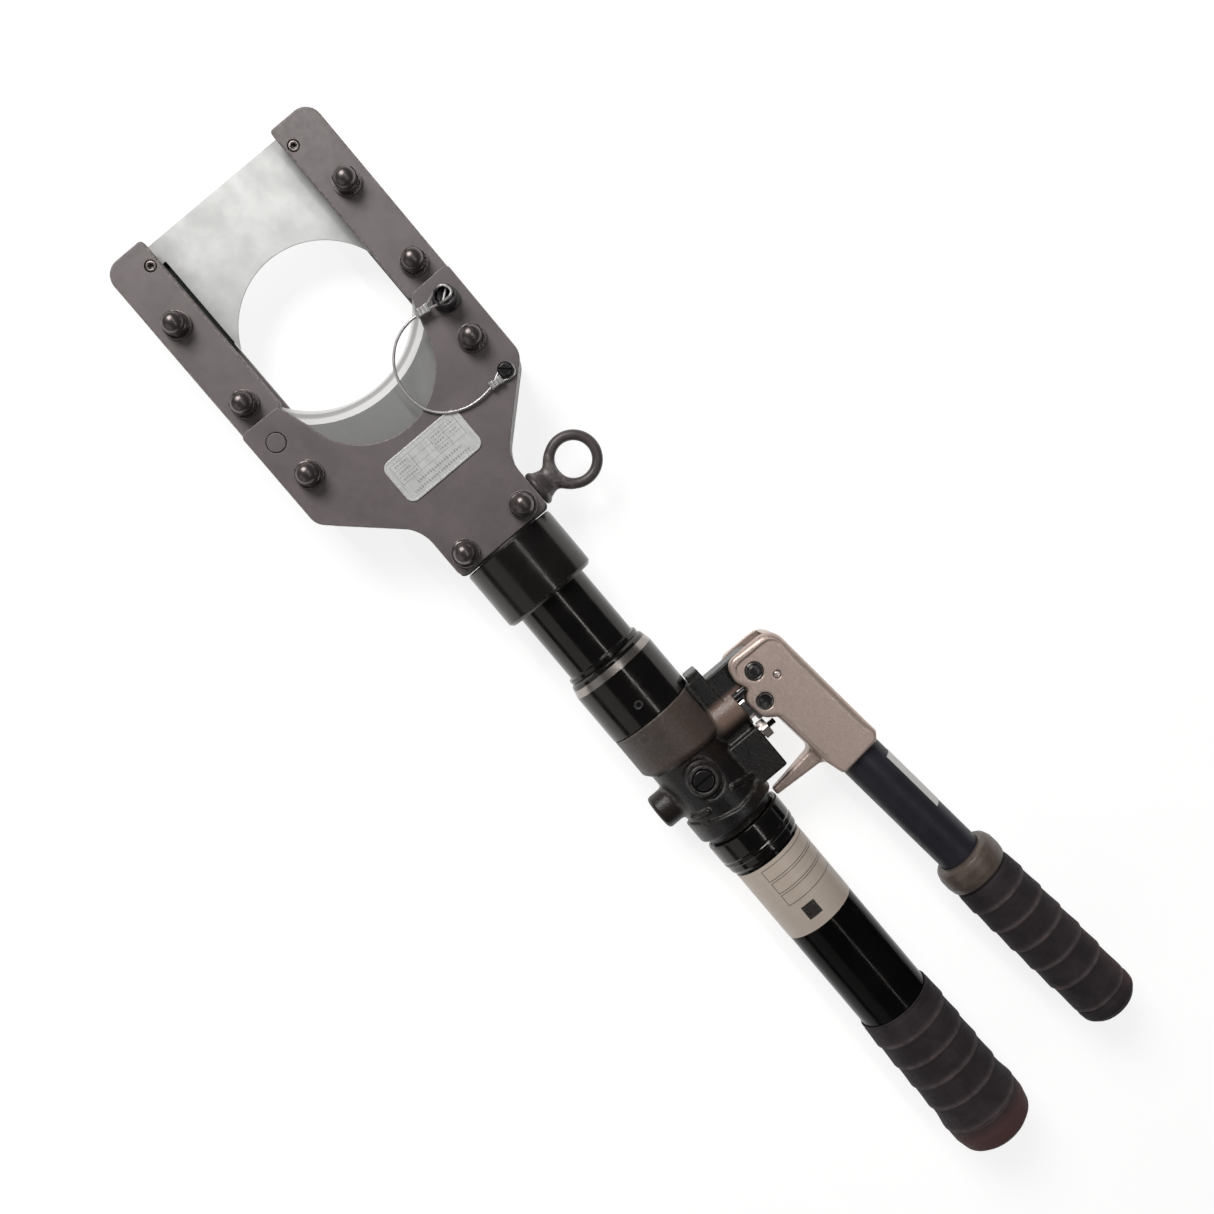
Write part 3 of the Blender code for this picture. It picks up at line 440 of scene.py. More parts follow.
HEAD = paint("head_paint", base=(0.176, 0.150, 0.151), rough=0.47, rub_to=(0.5, 0.46, 0.44),
             rub=0.55)
HEAD_PLATE = paint("head_plate_paint", base=(0.163, 0.137, 0.139), rough=0.44,
                   rub_to=(0.46, 0.42, 0.4))
EYE = paint("eye_paint", base=(0.085, 0.070, 0.070), rough=0.38, rub_to=(0.3, 0.26, 0.25),
            rub=0.6, mottle=0.2, grain=900.0, depth=0.00008)
# film paints shade on the fixed blade towards the guide rails.
BLADE = metal("blade_steel", base=(0.58, 0.585, 0.58), rough=0.44, mottle=0.07, grain=52.0,
              warp=0.1, film=0.62, metallic=0.35, scratch=0.35, depth=0.00002,
              stain=(0.42, 0.43, 0.42))
BLADE_MOVING = metal("blade_moving_steel", base=(0.285, 0.287, 0.285), rough=0.42, grain=60.0,
                     mottle=0.06, warp=0.1, metallic=0.5, scratch=0.3, depth=0.00002)
EDGE = edge_material()
WASHER = metal("washer_steel", base=(0.23, 0.20, 0.20), rough=0.34, mottle=0.08, metallic=0.55,
               scratch=0.0, depth=0.000004)
BLACKED = metal("blacked_steel", base=(0.135, 0.116, 0.114), rough=0.28, depth=0.000004,
                metallic=0.72, scratch=0.0, grain=90.0)
DARK_SCREW = metal("dark_screw_steel", base=(0.022, 0.020, 0.021), rough=0.24, mottle=0.2,
                   metallic=0.35, scratch=0.1, rub=0.25, grain=90.0)
CHROME = metal("hard_chrome", base=(0.74, 0.72, 0.71), rough=0.1, brush=(60, 900, 60),
               mottle=0.04, scratch=0.2, depth=0.000006)
ZINC = metal("zinc_plate", base=(0.70, 0.63, 0.60), rough=0.3, scratch=0.3, rub=0.3,
             grain=120.0, metallic=0.8)
WIRE = metal("wire_steel", base=(0.62, 0.60, 0.60), rough=0.38, mottle=0.12, scratch=0.2,
             grain=150.0, metallic=0.7)
FERRULE = metal("ferrule_aluminium", base=(0.42, 0.42, 0.42), rough=0.42, mottle=0.18,
                scratch=0.4, rub=0.5, grain=160.0, metallic=0.65)
SPRING = metal("spring_steel", base=(0.42, 0.41, 0.40), rough=0.35, mottle=0.15, grain=120.0)
GLOSS = gloss("black_enamel", base=(0.0045, 0.0042, 0.0042))
GLOSS_RESERVOIR = gloss("black_enamel_reservoir", base=(0.0040, 0.0038, 0.0038), specular=0.3,
                        ior=1.27)
SLEEVE_STEEL = metal("sleeve_steel", base=(0.34, 0.31, 0.29), rough=0.25, metallic=0.9,
                     scratch=0.1, grain=120.0)
GLOSS_COLLAR = gloss("black_enamel_collar", base=(0.010, 0.0092, 0.0090), rough=0.17)
# boss paints a warm sheen on the front of the plunger boss.
# rub and rub_to lighten the casting's rims, ribs and block edges, mostly as painted edge highlight.
CAST = cast("cast_black", base=(0.0075, 0.0066, 0.0064), rough=0.34, light=2.8,
            tint=(0.016, 0.0105, 0.0085), rub=0.7, rub_to=(0.105, 0.096, 0.09),
            boss=(0.24, 0.155, 0.12))
CAST_BARREL = cast("cast_barrel", base=(0.068, 0.056, 0.051), rough=0.46, light=2.3,
                   tint=(0.075, 0.052, 0.042), pebble_glint=0.7, specular=0.6, grain=820.0, depth=0.00034)
LEVER = cast("lever_paint", base=(0.56, 0.44, 0.385), rough=0.34, light=1.25, grain=1300.0,
             depth=0.00012, metallic=0.42, rub=0.3, blotch=0.06, pebble_glint=0.55,
             rub_to=(0.66, 0.55, 0.49))
TUBE = paint("lever_tube_black", base=(0.022, 0.021, 0.030), specular=0.35, rub=0.2, mottle=0.2,
             grain=700.0, depth=0.00003)
GRIP = rubber("grip_rubber", base=(0.036, 0.029, 0.032), tip=(0.125, 0.062, 0.060),
              tip_over=(-23 * MM, -10 * MM))
GRIP_LEVER = rubber("grip_rubber_lever", base=(0.034, 0.028, 0.031), tip=(0.085, 0.034, 0.036),
                    tip_axis=1, tip_over=(98 * MM, 116 * MM))
GRIP_RING = rubber("grip_rubber_ring", base=(0.105, 0.078, 0.064), rough=0.42,
                   rim=(0.12, 0.09, 0.075), specular=0.55)
# Black rubber for seals, also painted on the fixed blade's side groove as shade.
RUBBER_AND_SLOT_SHADE = rubber("seal_rubber", base=(0.03, 0.03, 0.03))
PAPER = paint("paper_strip", base=(0.78, 0.76, 0.74), rough=0.6, mottle=0.04,
              rub_to=(0.5, 0.48, 0.46), grain=2400.0)
LABEL = label_material()
NAME_PLATE = plate_material()

# The frame's finish slot for a piece, by its first material.
SLOT_OF = {material.name: slot for slot, materials in {
    "head_paint": (HEAD, HEAD_PLATE),
    "blade_steel": (BLADE, BLADE_MOVING),
    "black_steel": (BLACKED, DARK_SCREW, EYE),
    "black_gloss": (GLOSS, GLOSS_COLLAR),
    "reservoir_steel": (GLOSS_RESERVOIR, LABEL),
    "chrome_rod": (CHROME,),
    "zinc_plate": (ZINC, NAME_PLATE),
    "spring_steel": (WIRE, FERRULE, SPRING),
    "cast_black": (CAST,),
    "lever_paint": (LEVER,),
    "lever_tube_black": (TUBE, PAPER),
    "grip_rubber": (GRIP, GRIP_LEVER),
}.items() for material in materials}


# =============================================================== finishing meshes
def smooth(mesh, angle):
    mesh.shade_smooth()
    mesh.set_sharp_from_angle(angle=math.radians(angle))


def make(name, verts, faces, materials=None, body=None, wear=None, angle=30.0, weighted=True,
         replaces=True):
    """A mesh object from millimetre points, its faces turned out and its sharp edges marked.

    Without a body it is left unfinished, to be cut or to cut with.
    """
    coords = np.asarray(verts, float) * MM
    coords[:, 0] += JAW_X
    name = name + "_skin" if name in frame["nodes"] else name
    mesh = bpy.data.meshes.new(name)
    mesh.from_pydata(coords.tolist(), [], [tuple(int(i) for i in face) for face in faces])
    layer = mesh.attributes.new("wear", "FLOAT", "POINT")
    if wear is not None:
        layer.data.foreach_set("value", np.asarray(wear, np.float32))
    bm = bmesh.new()
    bm.from_mesh(mesh)
    bmesh.ops.remove_doubles(bm, verts=bm.verts, dist=2e-6)
    bmesh.ops.dissolve_degenerate(bm, edges=bm.edges, dist=1e-7)
    bmesh.ops.recalc_face_normals(bm, faces=bm.faces)
    if bm.calc_volume(signed=True) < 0:
        bmesh.ops.reverse_faces(bm, faces=bm.faces)
    bm.to_mesh(mesh)
    bm.free()
    obj = bpy.data.objects.new(name, mesh)
    bpy.context.scene.collection.objects.link(obj)
    if materials:
        for material in materials if isinstance(materials, list) else [materials]:
            mesh.materials.append(material)
    smooth(mesh, angle)
    if body:
        finish(obj, body, angle, weighted, replaces)
    return obj


def bake(obj):
    """Applies the modifiers."""
    bpy.context.view_layer.update()
    graph = bpy.context.evaluated_depsgraph_get()
    mesh = bpy.data.meshes.new_from_object(obj.evaluated_get(graph), preserve_all_data_layers=True,
                                           depsgraph=graph)
    obj.modifiers.clear()
    obj.data = mesh


def finish(obj, body, angle=30.0, weighted=True, replaces=True):
    """Weights the normals and tells the frame about the piece.

    With `replaces`, it takes the place of the CAD node it is named after.
    """
    if weighted:
        smooth(obj.data, angle)
        modifier = obj.modifiers.new("weighted", "WEIGHTED_NORMAL")
        modifier.keep_sharp = True
        modifier.weight = 60
        bake(obj)
    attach(obj, body)
    if replaces:
        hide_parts(obj.name.removesuffix("_skin"))


def boolean(obj, *tools, kind="DIFFERENCE"):
    for tool in tools:
        modifier = obj.modifiers.new("cut", "BOOLEAN")
        modifier.operation = kind
        modifier.solver = "EXACT"
        modifier.object = tool
    bake(obj)
    for tool in tools:
        bpy.data.objects.remove(tool, do_unlink=True)
    bm = bmesh.new()
    bm.from_mesh(obj.data)
    bmesh.ops.remove_doubles(bm, verts=bm.verts, dist=1e-6)
    bmesh.ops.dissolve_degenerate(bm, edges=bm.edges, dist=1e-7)
    bm.to_mesh(obj.data)
    bm.free()


def second_material(obj, test):
    """Gives the second material to faces whose centre and upward tilt pass the test."""
    for face in obj.data.polygons:
        x, y, z = (np.array(face.center) - np.array((JAW_X, 0, 0))) / MM
        if test(x, y, z, face.normal.z):
            face.material_index = 1


# =============================================================== outlines
def arc(cx, cy, radius, start, end, steps):
    angles = [math.radians(start + (end - start) * i / steps) for i in range(steps + 1)]
    return [(cx + radius * math.cos(a), cy + radius * math.sin(a)) for a in angles]


def circle(cx, cy, radius):
    angles = [2 * math.pi * i / 48 for i in range(48)]
    return [(cx + radius * math.cos(a), cy + radius * math.sin(a)) for a in angles]


def fillet(corners, steps, closed=True):
    """Points from corners (x, y, fillet), and each point's place in its fillet, 0..1, or -1."""
    points, marks = [], []
    last = len(corners) - 1
    for i, (x, y, radius) in enumerate(corners):
        here = Vector((x, y))
        before = (Vector(corners[i - 1][:2]) - here).normalized()
        after = (Vector(corners[(i + 1) % len(corners)][:2]) - here).normalized()
        half = math.acos(max(-1, min(1, before.dot(after)))) / 2
        open_end = not closed and i in (0, last)
        if radius <= 0 or open_end or half > math.pi / 2 - 1e-3:
            points.append((x, y))
            marks.append(-1)
            continue
        centre = here + (before + after).normalized() * (radius / math.sin(half))
        first = here + before * (radius / math.tan(half)) - centre
        final = here + after * (radius / math.tan(half)) - centre
        sweep = math.atan2(first.x * final.y - first.y * final.x, first.dot(final))
        for k in range(steps + 1):
            points.append(tuple(centre + Matrix.Rotation(sweep * k / steps, 2) @ first))
            marks.append(k / steps)
    return points, marks


def rounded(corners, steps):
    return fillet(corners, steps)[0]


def flip(points, sign):
    return [(x, sign * y, *rest) for x, y, *rest in points]


def tidy(loop, ccw=True):
    """The loop with repeats dropped, turned the way asked."""
    out = []
    for point in loop:
        if not out or math.dist(point, out[-1]) > 2e-3:
            out.append(tuple(point[:2]))
    if math.dist(out[0], out[-1]) < 2e-3:
        out.pop()
    area = sum(p[0] * q[1] - q[0] * p[1] for p, q in zip(out, out[1:] + out[:1]))
    return out if (area > 0) == ccw else out[::-1]


def inset(loop, distance):
    points = np.array(loop)
    edge = np.roll(points, -1, 0) - points
    edge /= np.linalg.norm(edge, axis=1)[:, None]
    after = np.stack([-edge[:, 1], edge[:, 0]], 1)
    before = np.roll(after, 1, 0)
    spread = 1 + (before * after).sum(1)
    return points + distance * (before + after) / np.maximum(spread, 0.25)[:, None]


# =============================================================== solids
def turn_z(verts, degrees):
    return verts @ np.array(Matrix.Rotation(math.radians(degrees), 3, "Z")).T


def ring_faces(rings, segs, start=0, closed=False):
    """Quads that join rings of `segs` vertices each."""
    faces = []
    for i in range(rings if closed else rings - 1):
        a, b = start + i * segs, start + ((i + 1) % rings) * segs
        faces += [(a + j, a + (j + 1) % segs, b + (j + 1) % segs, b + j) for j in range(segs)]
    return faces


def cap(verts, rings):
    """Triangles that fill the area between an outline ring and its hole rings."""
    bm = bmesh.new()
    edges, where = [], {}
    for ring in rings:
        made = [bm.verts.new(verts[i]) for i in ring]
        where.update(zip(made, ring))
        edges += [bm.edges.new(pair) for pair in zip(made, made[1:] + made[:1])]
    filled = bmesh.ops.triangle_fill(bm, use_beauty=True, use_dissolve=False, edges=edges)
    faces = [tuple(where[v] for v in face.verts) for face in filled["geom"]
             if isinstance(face, bmesh.types.BMFace)]
    bm.free()
    return faces


def plate(name, outline, z0, z1, materials=None, body=None, holes=(), top=0.0, bottom=0.0,
          hole=0.3, steps=4, **more):
    """A flat plate with holes. Its edges have `top` and `bottom` fillets, marked as worn."""
    loops = [(tidy(outline), top, bottom)]
    loops += [(tidy(one, False), min(hole, top), min(hole, bottom)) for one in holes]
    quarter = [math.pi / 2 * k / steps for k in range(steps + 1)]
    verts, wear, faces, tops, bottoms = [], [], [], [], []
    for loop, high, low in loops:
        rows = [(low * (1 - math.sin(a)), z0 + low * (1 - math.cos(a)), math.sin(2 * a))
                for a in quarter]
        rows += [(high * (1 - math.cos(a)), z1 - high * (1 - math.sin(a)), math.sin(2 * a))
                 for a in quarter]
        count, start = len(loop), len(verts)
        for distance, z, mark in rows:
            verts += [(x, y, z) for x, y in inset(loop, distance)]
            wear += [mark] * count
        faces += ring_faces(len(rows), count, start)
        bottoms.append(range(start, start + count))
        tops.append(range(start + (len(rows) - 1) * count, start + len(rows) * count))
    faces += cap(verts, bottoms) + cap(verts, tops)
    return make(name, verts, faces, materials, body, wear, **more)


def cutter(name, outline, z0, z1):
    return plate(name, outline, z0, z1, steps=1)


def block(name, xs, ys, zs, at=(0, 0, 0), turn=0.0):
    """A box to cut with."""
    verts = np.array([(x, y, z) for x in xs for y in ys for z in zs], float)
    faces = [(0, 1, 3, 2), (4, 6, 7, 5), (0, 4, 5, 1), (2, 3, 7, 6), (0, 2, 6, 4), (1, 5, 7, 3)]
    return make(name, turn_z(verts, turn) + np.array(at, float), faces)


def spun(points, axis, segs, closed=False):
    """Vertices and faces of a turned shape from (height, radius) points."""
    angles = np.linspace(0, 2 * math.pi, segs, endpoint=False)[None]
    height = np.array([p[0] for p in points])[:, None] + 0 * angles
    radius = np.array([p[1] for p in points])[:, None] + 0 * angles
    c, s = radius * np.cos(angles), radius * np.sin(angles)
    xyz = {"X": (height, c, s), "Y": (s, height, c), "Z": (c, s, height)}[axis]
    return np.stack(xyz, -1).reshape(-1, 3), ring_faces(len(points), segs, closed=closed)


def turned(name, profile, axis, materials=None, body=None, at=(0, 0, 0), segs=96, closed=False,
           turn=0.0, **more):
    """A turned piece from (height, radius[, fillet]) corners about an axis through `at`."""
    corners = [(*p, 0) if len(p) == 2 else p for p in profile]
    points, marks = fillet(corners, 5, closed)
    verts, faces = spun(points, axis, segs, closed)
    wear = np.repeat([math.sin(math.pi * k) if k >= 0 else 0.0 for k in marks], segs)
    return make(name, turn_z(verts, turn) + np.array(at, float), faces, materials, body, wear,
                **more)


def polar(name, rows, materials, body, at=(0, 0, 0), segs=72, axis="Z", **more):
    """A piece from (radius, height, wear) rows; the first two may be functions of degrees."""
    verts, wear = [], []
    for radius, height, mark in rows:
        for j in range(segs):
            degrees = 360.0 * j / segs
            r = radius(degrees) if callable(radius) else radius
            h = height(degrees) if callable(height) else height
            x, y = r * math.cos(math.radians(degrees)), r * math.sin(math.radians(degrees))
            verts.append((x, y, h) if axis == "Z" else (y, h, x))
            wear.append(mark)
    return make(name, np.array(verts) + np.array(at, float), ring_faces(len(rows), segs),
                materials, body, wear, **more)


def both_ends(rows):
    """Rows for polar(), mirrored in height."""
    return rows + [(radius, -height, mark) for radius, height, mark in reversed(rows)]


def hexagon(flat, corner=99.0, turn=0.0):
    """Radius at an angle of a hexagon of half-width `flat`, its corners cut to `corner`."""
    return lambda t: min(corner, flat / math.cos(math.radians(((t + turn) % 60.0) - 30.0)))


def chamfer(radius, start, slope, *rows):
    """Rows for polar() from a circle of radius `start` to a hexagon, from (share, height, wear)."""
    return [(lambda t, share=share: start + (radius(t) - start) * share,
             lambda t, share=share, height=height: height + (radius(t) - start) * share * slope,
             mark) for share, height, mark in rows]


def swept(points, radius, sides, lay=0.0):
    """Vertices and faces of a rod along points. `lay` is the height of its six wire strands."""
    twist = 0.9    # radians per mm
    points = np.array(points, float)
    ahead = np.gradient(points, axis=0)
    ahead /= np.linalg.norm(ahead, axis=1)[:, None]
    side = np.cross(ahead[0], (0, 0, 1.0))
    side = side / np.linalg.norm(side) if np.linalg.norm(side) > 1e-6 else np.array((1.0, 0, 0))
    around = np.linspace(0, 2 * math.pi, sides, endpoint=False)
    rings, walked = [], 0.0
    for i, point in enumerate(points):
        side = side - ahead[i] * side.dot(ahead[i])
        side /= np.linalg.norm(side)
        up = np.cross(ahead[i], side)
        if i:
            walked += np.linalg.norm(point - points[i - 1])
        r = radius + lay * np.abs(np.cos(3.0 * (around + twist * walked))) - lay
        rings.append(point + side * (r * np.cos(around))[:, None]
                     + up * (r * np.sin(around))[:, None])
    count = len(points)
    faces, end = ring_faces(count, sides), count * sides
    for j in range(sides):
        k = (j + 1) % sides
        faces.append((j, k, end))
        faces.append((end - sides + k, end - sides + j, end + 1))
    return np.concatenate(rings + [points[:1], points[-1:]]), faces


def curve(points, per):
    """Points of a smooth curve through the given ones, `per` to a span."""
    out, last = [], len(points) - 1
    for i in range(last):
        p0, p1, p2, p3 = (np.array(points[max(0, min(last, i + k))], float) for k in (-1, 0, 1, 2))
        for step in range(per):
            t = step / per
            out.append(0.5 * (2 * p1 + (p2 - p0) * t + (2 * p0 - 5 * p1 + 4 * p2 - p3) * t * t
                              + (3 * p1 - p0 - 3 * p2 + p3) * t ** 3))
    out.append(np.array(points[-1], float))
    return out


# =============================================================== castings from distance fields
def both(one, two, radius):
    """Intersection of two fields, its edge rounded."""
    one, two = one + radius, two + radius
    outside = np.hypot(np.maximum(one, 0), np.maximum(two, 0))
    return outside + np.minimum(np.maximum(one, two), 0) - radius


def add(one, two, blend):
    """Smooth union of two fields."""
    share = np.clip(0.5 + 0.5 * (two - one) / blend, 0, 1)
    return two * (1 - share) + one * share - blend * share * (1 - share)


def carve(one, two, blend):
    return -add(-one, two, blend)


def box_field(points, low, high, radius):
    low, high = np.array(low, float), np.array(high, float)
    q = np.abs(points - (low + high) / 2) - (high - low) / 2 + radius
    return np.linalg.norm(np.maximum(q, 0), axis=1) + np.minimum(q.max(1), 0) - radius


def cylinder_field(points, axis, centre, radius, start, end, edge=0.0):
    k = "XYZ".index(axis)
    u, v = [i for i in range(3) if i != k]
    rho = np.hypot(points[:, u] - centre[0], points[:, v] - centre[1])
    return both(rho - radius, np.abs(points[:, k] - (start + end) / 2) - (end - start) / 2, edge)


def torus_field(points, centre, big, small):
    """A torus about a line along Z."""
    q = points - np.array(centre, float)
    return np.hypot(np.hypot(q[:, 0], q[:, 1]) - big, q[:, 2]) - small


def outline_field(u, v, loop):
    """Signed distance to a closed outline."""
    corners = np.array(tidy(loop), float)
    best = np.full(len(u), 1e9)
    sign = np.ones(len(u))
    for (ax, ay), (bx, by) in zip(corners, np.roll(corners, -1, 0)):
        ex, ey = bx - ax, by - ay
        wx, wy = u - ax, v - ay
        t = np.clip((wx * ex + wy * ey) / (ex * ex + ey * ey), 0, 1)
        best = np.minimum(best, (wx - ex * t) ** 2 + (wy - ey * t) ** 2)
        above, below, inside = v >= ay, v < by, ex * wy > ey * wx
        crossed = (above & below & inside) | (~above & ~below & ~inside)
        sign = np.where(crossed, -sign, sign)
    return sign * np.sqrt(best)


def sample(field, low, high, step):
    """The field on a grid, exact near its surface and coarse, by 4-cell blocks, elsewhere."""
    size = (np.ceil((high - low) / step).astype(int) // 4 + 1) * 4
    blocks = np.argwhere(np.ones(size // 4))
    rough = field(low + (blocks * 4 + 1.5) * step)
    grid = rough.reshape(size // 4)
    for axis in range(3):
        grid = np.repeat(grid, 4, axis)
    near = blocks[np.abs(rough) < step * 6.5] * 4
    offsets = np.argwhere(np.ones((4, 4, 4)))
    for part in np.array_split(near, max(1, len(near) // 6000)):
        ids = (part[:, None] + offsets[None]).reshape(-1, 3)
        grid[ids[:, 0], ids[:, 1], ids[:, 2]] = field(low + ids * step)
    return grid


def field_mesh(field, low, high, step):
    """Vertices, quads and wear where a field is zero, by surface nets pulled onto the surface."""
    low, high = np.array(low, float), np.array(high, float)
    grid = sample(field, low, high, step)
    inside = grid < 0
    cells = [n - 1 for n in grid.shape]
    corners = list(np.ndindex(2, 2, 2))

    def shifted(array, corner):
        return array[tuple(slice(c, c + n) for c, n in zip(corner, cells))]

    count = sum(shifted(inside, corner).astype(np.int8) for corner in corners)
    active = (count > 0) & (count < 8)
    index = np.full(cells, -1, np.int64)
    index[active] = np.arange(active.sum())
    cell = np.argwhere(active)

    # Each active cell's vertex is the mean of its edge crossings.
    total, hits = np.zeros((len(cell), 3)), np.zeros(len(cell))
    for corner in corners:
        for axis in range(3):
            if corner[axis]:
                continue
            other = list(corner)
            other[axis] = 1
            here, there = shifted(grid, corner)[active], shifted(grid, other)[active]
            cross = (here < 0) != (there < 0)
            t = np.where(cross, here / np.where(cross, here - there, 1), 0)
            point = np.tile(np.array(corner, float), (len(cell), 1))
            point[:, axis] += t
            total += point * cross[:, None]
            hits += cross
    verts = low + (cell + total / hits[:, None]) * step

    # Each crossed grid edge makes a quad of the four cells round it.
    quads = []
    for axis in range(3):
        u, v = [i for i in range(3) if i != axis]
        before, after = [slice(1, -1)] * 3, [slice(1, -1)] * 3
        before[axis], after[axis] = slice(0, -1), slice(1, None)
        at = np.argwhere(inside[tuple(before)] != inside[tuple(after)])
        at[:, u] += 1
        at[:, v] += 1
        ring = []
        for du, dv in ((-1, -1), (0, -1), (0, 0), (-1, 0)):
            q = at.copy()
            q[:, u] += du
            q[:, v] += dv
            ring.append(index[q[:, 0], q[:, 1], q[:, 2]])
        quads.append(np.stack(ring, 1))
    faces = np.concatenate(quads)
    faces = faces[(faces >= 0).all(1)]

    def gradient(at):
        e = 0.04
        return np.stack([field(at + e * unit) - field(at - e * unit) for unit in np.eye(3)],
                        1) / (2 * e)

    for _ in range(3):
        value, slope = field(verts), gradient(verts)
        move = slope * (value / np.maximum((slope * slope).sum(1), 0.3))[:, None]
        length = np.linalg.norm(move, axis=1)
        verts = verts - move * np.minimum(1, 0.5 * step / np.maximum(length, 1e-9))[:, None]
    # Wear sits on convex edges: a point 1.1 mm inside is nearer to the surface there.
    slope = gradient(verts)
    slope /= np.maximum(np.linalg.norm(slope, axis=1), 1e-9)[:, None]
    wear = np.clip((field(verts - slope * 1.1) + 1.1) / 0.25, 0, 1)
    return verts, faces, wear


def moulded(name, field, low, high, step, materials, body, at=(0, 0, 0), turn=0.0, **more):
    """A piece whose surface is where a field is zero."""
    verts, faces, wear = field_mesh(field, low, high, step)
    return make(name, turn_z(verts, turn) + np.array(at), faces, materials, body, wear, angle=60,
                weighted=False, **more)


# =============================================================== gate
HALF_WIDTH, OPEN_HALF, GATE_END = 69.5, 43.3, -91.5
PIN_X, PIN_Y, LUG_R = 32.9, 57.4, 12.1    # hinge pin at -PIN_Y, latch pin at +PIN_Y
CORE_Z = 14.1                             # half thickness between the yoke plates
PLATE_IN, PLATE_OUT = 14.4, 20.4          # z of the yoke plates' faces
STEP_FRONT, STEP_REAR = 8.1, -7.9         # z of the spacers' stepped faces
RAIL_BOLTS = ((-46.3, PIN_Y), (6.5, PIN_Y))
YOKE_BOLTS = ((56.4, 54.8), (139.0, 19.6))
SET_SCREW, ANCHOR = (-78.0, 48.2), (80.0, 57.5)
SIDES = ((1, "left"), (-1, "right"))      # sign of y


def rail_outline():
    bar = rounded([(GATE_END, HALF_WIDTH, 9.5), (GATE_END, OPEN_HALF, 2.0), (17.0, OPEN_HALF, 0),
                   (19.5, PIN_Y - LUG_R, 0), (PIN_X, PIN_Y - LUG_R, 0), (PIN_X, HALF_WIDTH, 0)], 12)
    return bar[:-2] + arc(PIN_X, PIN_Y, LUG_R, -90, 90, 36)


for sign, side in SIDES:
    outline = flip(rail_outline(), sign)
    holes = [flip(circle(x, y, 4.3), sign) for x, y in RAIL_BOLTS]
    holes.append(flip(circle(PIN_X, PIN_Y, 5.3), sign))
    rail = plate("guide_rail_" + side, outline, -CORE_Z, 8.1, HEAD, holes=holes, top=0.25,
                 bottom=0.8)
    groove = [(-110, 30), (70, 30), (70, 50.3), (-110, 50.3)]
    relief = arc(PIN_X, PIN_Y, 12.3, 270, 90, 40) + [(70, PIN_Y + 12.3), (70, 45.1)]
    pocket = [(-110, 40), (-53.7, 40), (-53.7, 56.3), (-110, 56.3)]
    boolean(rail, cutter("groove", flip(groove, sign), -8.2, 20),
            cutter("relief", flip(relief, sign), -8.2, 20),
            cutter("pocket", flip(pocket, sign), -8.2, 0.1))
    finish(rail, "gate")
    plate("rail_cover_" + side, outline, 8.4, CORE_Z, HEAD, "gate",
          holes=holes + [flip(circle(*SET_SCREW, 3.3), sign)], top=1.25, bottom=0.3, hole=0.25,
          steps=5)


def fixed_blade():
    """Blade with a round cutting edge, ground on its rear face, and clamped wings."""
    edge_r, tip_x, wing_x, wing_y = 46.4, -10, -53.9, 56
    tip_y = math.sqrt(edge_r ** 2 - tip_x ** 2)
    tip_angle = math.degrees(math.atan2(tip_y, tip_x))
    outline = rounded([(tip_x, -50, 0), (wing_x, -50, 0), (wing_x, -wing_y, 0),
                       (GATE_END, -wing_y, 2), (GATE_END, wing_y, 2), (wing_x, wing_y, 0),
                       (wing_x, 50, 0), (tip_x, 50, 0)], 8)
    outline += arc(0, 0, edge_r, tip_angle, 360 - tip_angle, 120)
    blade = plate("fixed_blade", outline, -7.9, -0.2, [BLADE, RUBBER_AND_SLOT_SHADE], top=0.12, bottom=0.3, steps=2)
    boolean(blade, turned("grind", [(-8.4, 0), (-8.4, 53.8), (-0.8, 46.0), (-0.8, 0)], "Z",
                          segs=256))
    boolean(blade, block("side_groove", (-80.0, 12.0), (-44.6, -41.9), (-4.6, 1.0)))
    # The groove's faces take the black rubber as painted shade under the rail cover.
    second_material(blade, lambda x, y, z, tilt: (-80.2 < x < 12.2 and -44.7 < y < -41.8
                                                  and -4.8 < z < -0.3))
    finish(blade, "gate", angle=16)


fixed_blade()


def cap_nut(name, x, y, z, body, turn):
    """Domed nut on its washer, both standing on z."""
    radius = hexagon(6.1, 6.9, turn)
    rows = [(0.0, 13.9, 0)]
    for k in range(1, 11):
        a = math.radians(90 - 78 * k / 10)
        rows.append((5.65 * math.cos(a) / math.cos(math.radians(12)), 9.1 + 4.8 * math.sin(a), 0))
    rows += [(5.7, 9.6, 0), (5.7, 8.3, 0), (5.78, 7.9, 0.2), (6.0, 7.68, 0.5), (6.2, 7.6, 0.6),
             (6.35, 7.56, 0.6)]
    rows += chamfer(radius, 6.35, -0.62, (0.5, 7.56, 0.7), (0.9, 7.56, 1.0), (1.0, 7.41, 1.0))
    rows += [(radius, 2.15, 0.3), (lambda t: radius(t) - 0.12, 1.92, 0.6),
             # washer
             (7.3, 1.9, 0.4), (7.45, 1.85, 1.0), (7.62, 1.6, 1.0), (7.65, 1.4, 0.6),
             (7.65, 0.3, 0.2), (7.55, 0.0, 0.2), (4.2, 0.0, 0), (4.2, 9.2, 0), (0.0, 9.2, 0)]
    nut = polar(name, rows, [BLACKED, WASHER], body, (x, y, z), angle=24)
    second_material(nut, lambda cx, cy, cz, tilt: cz < z + 1.9)


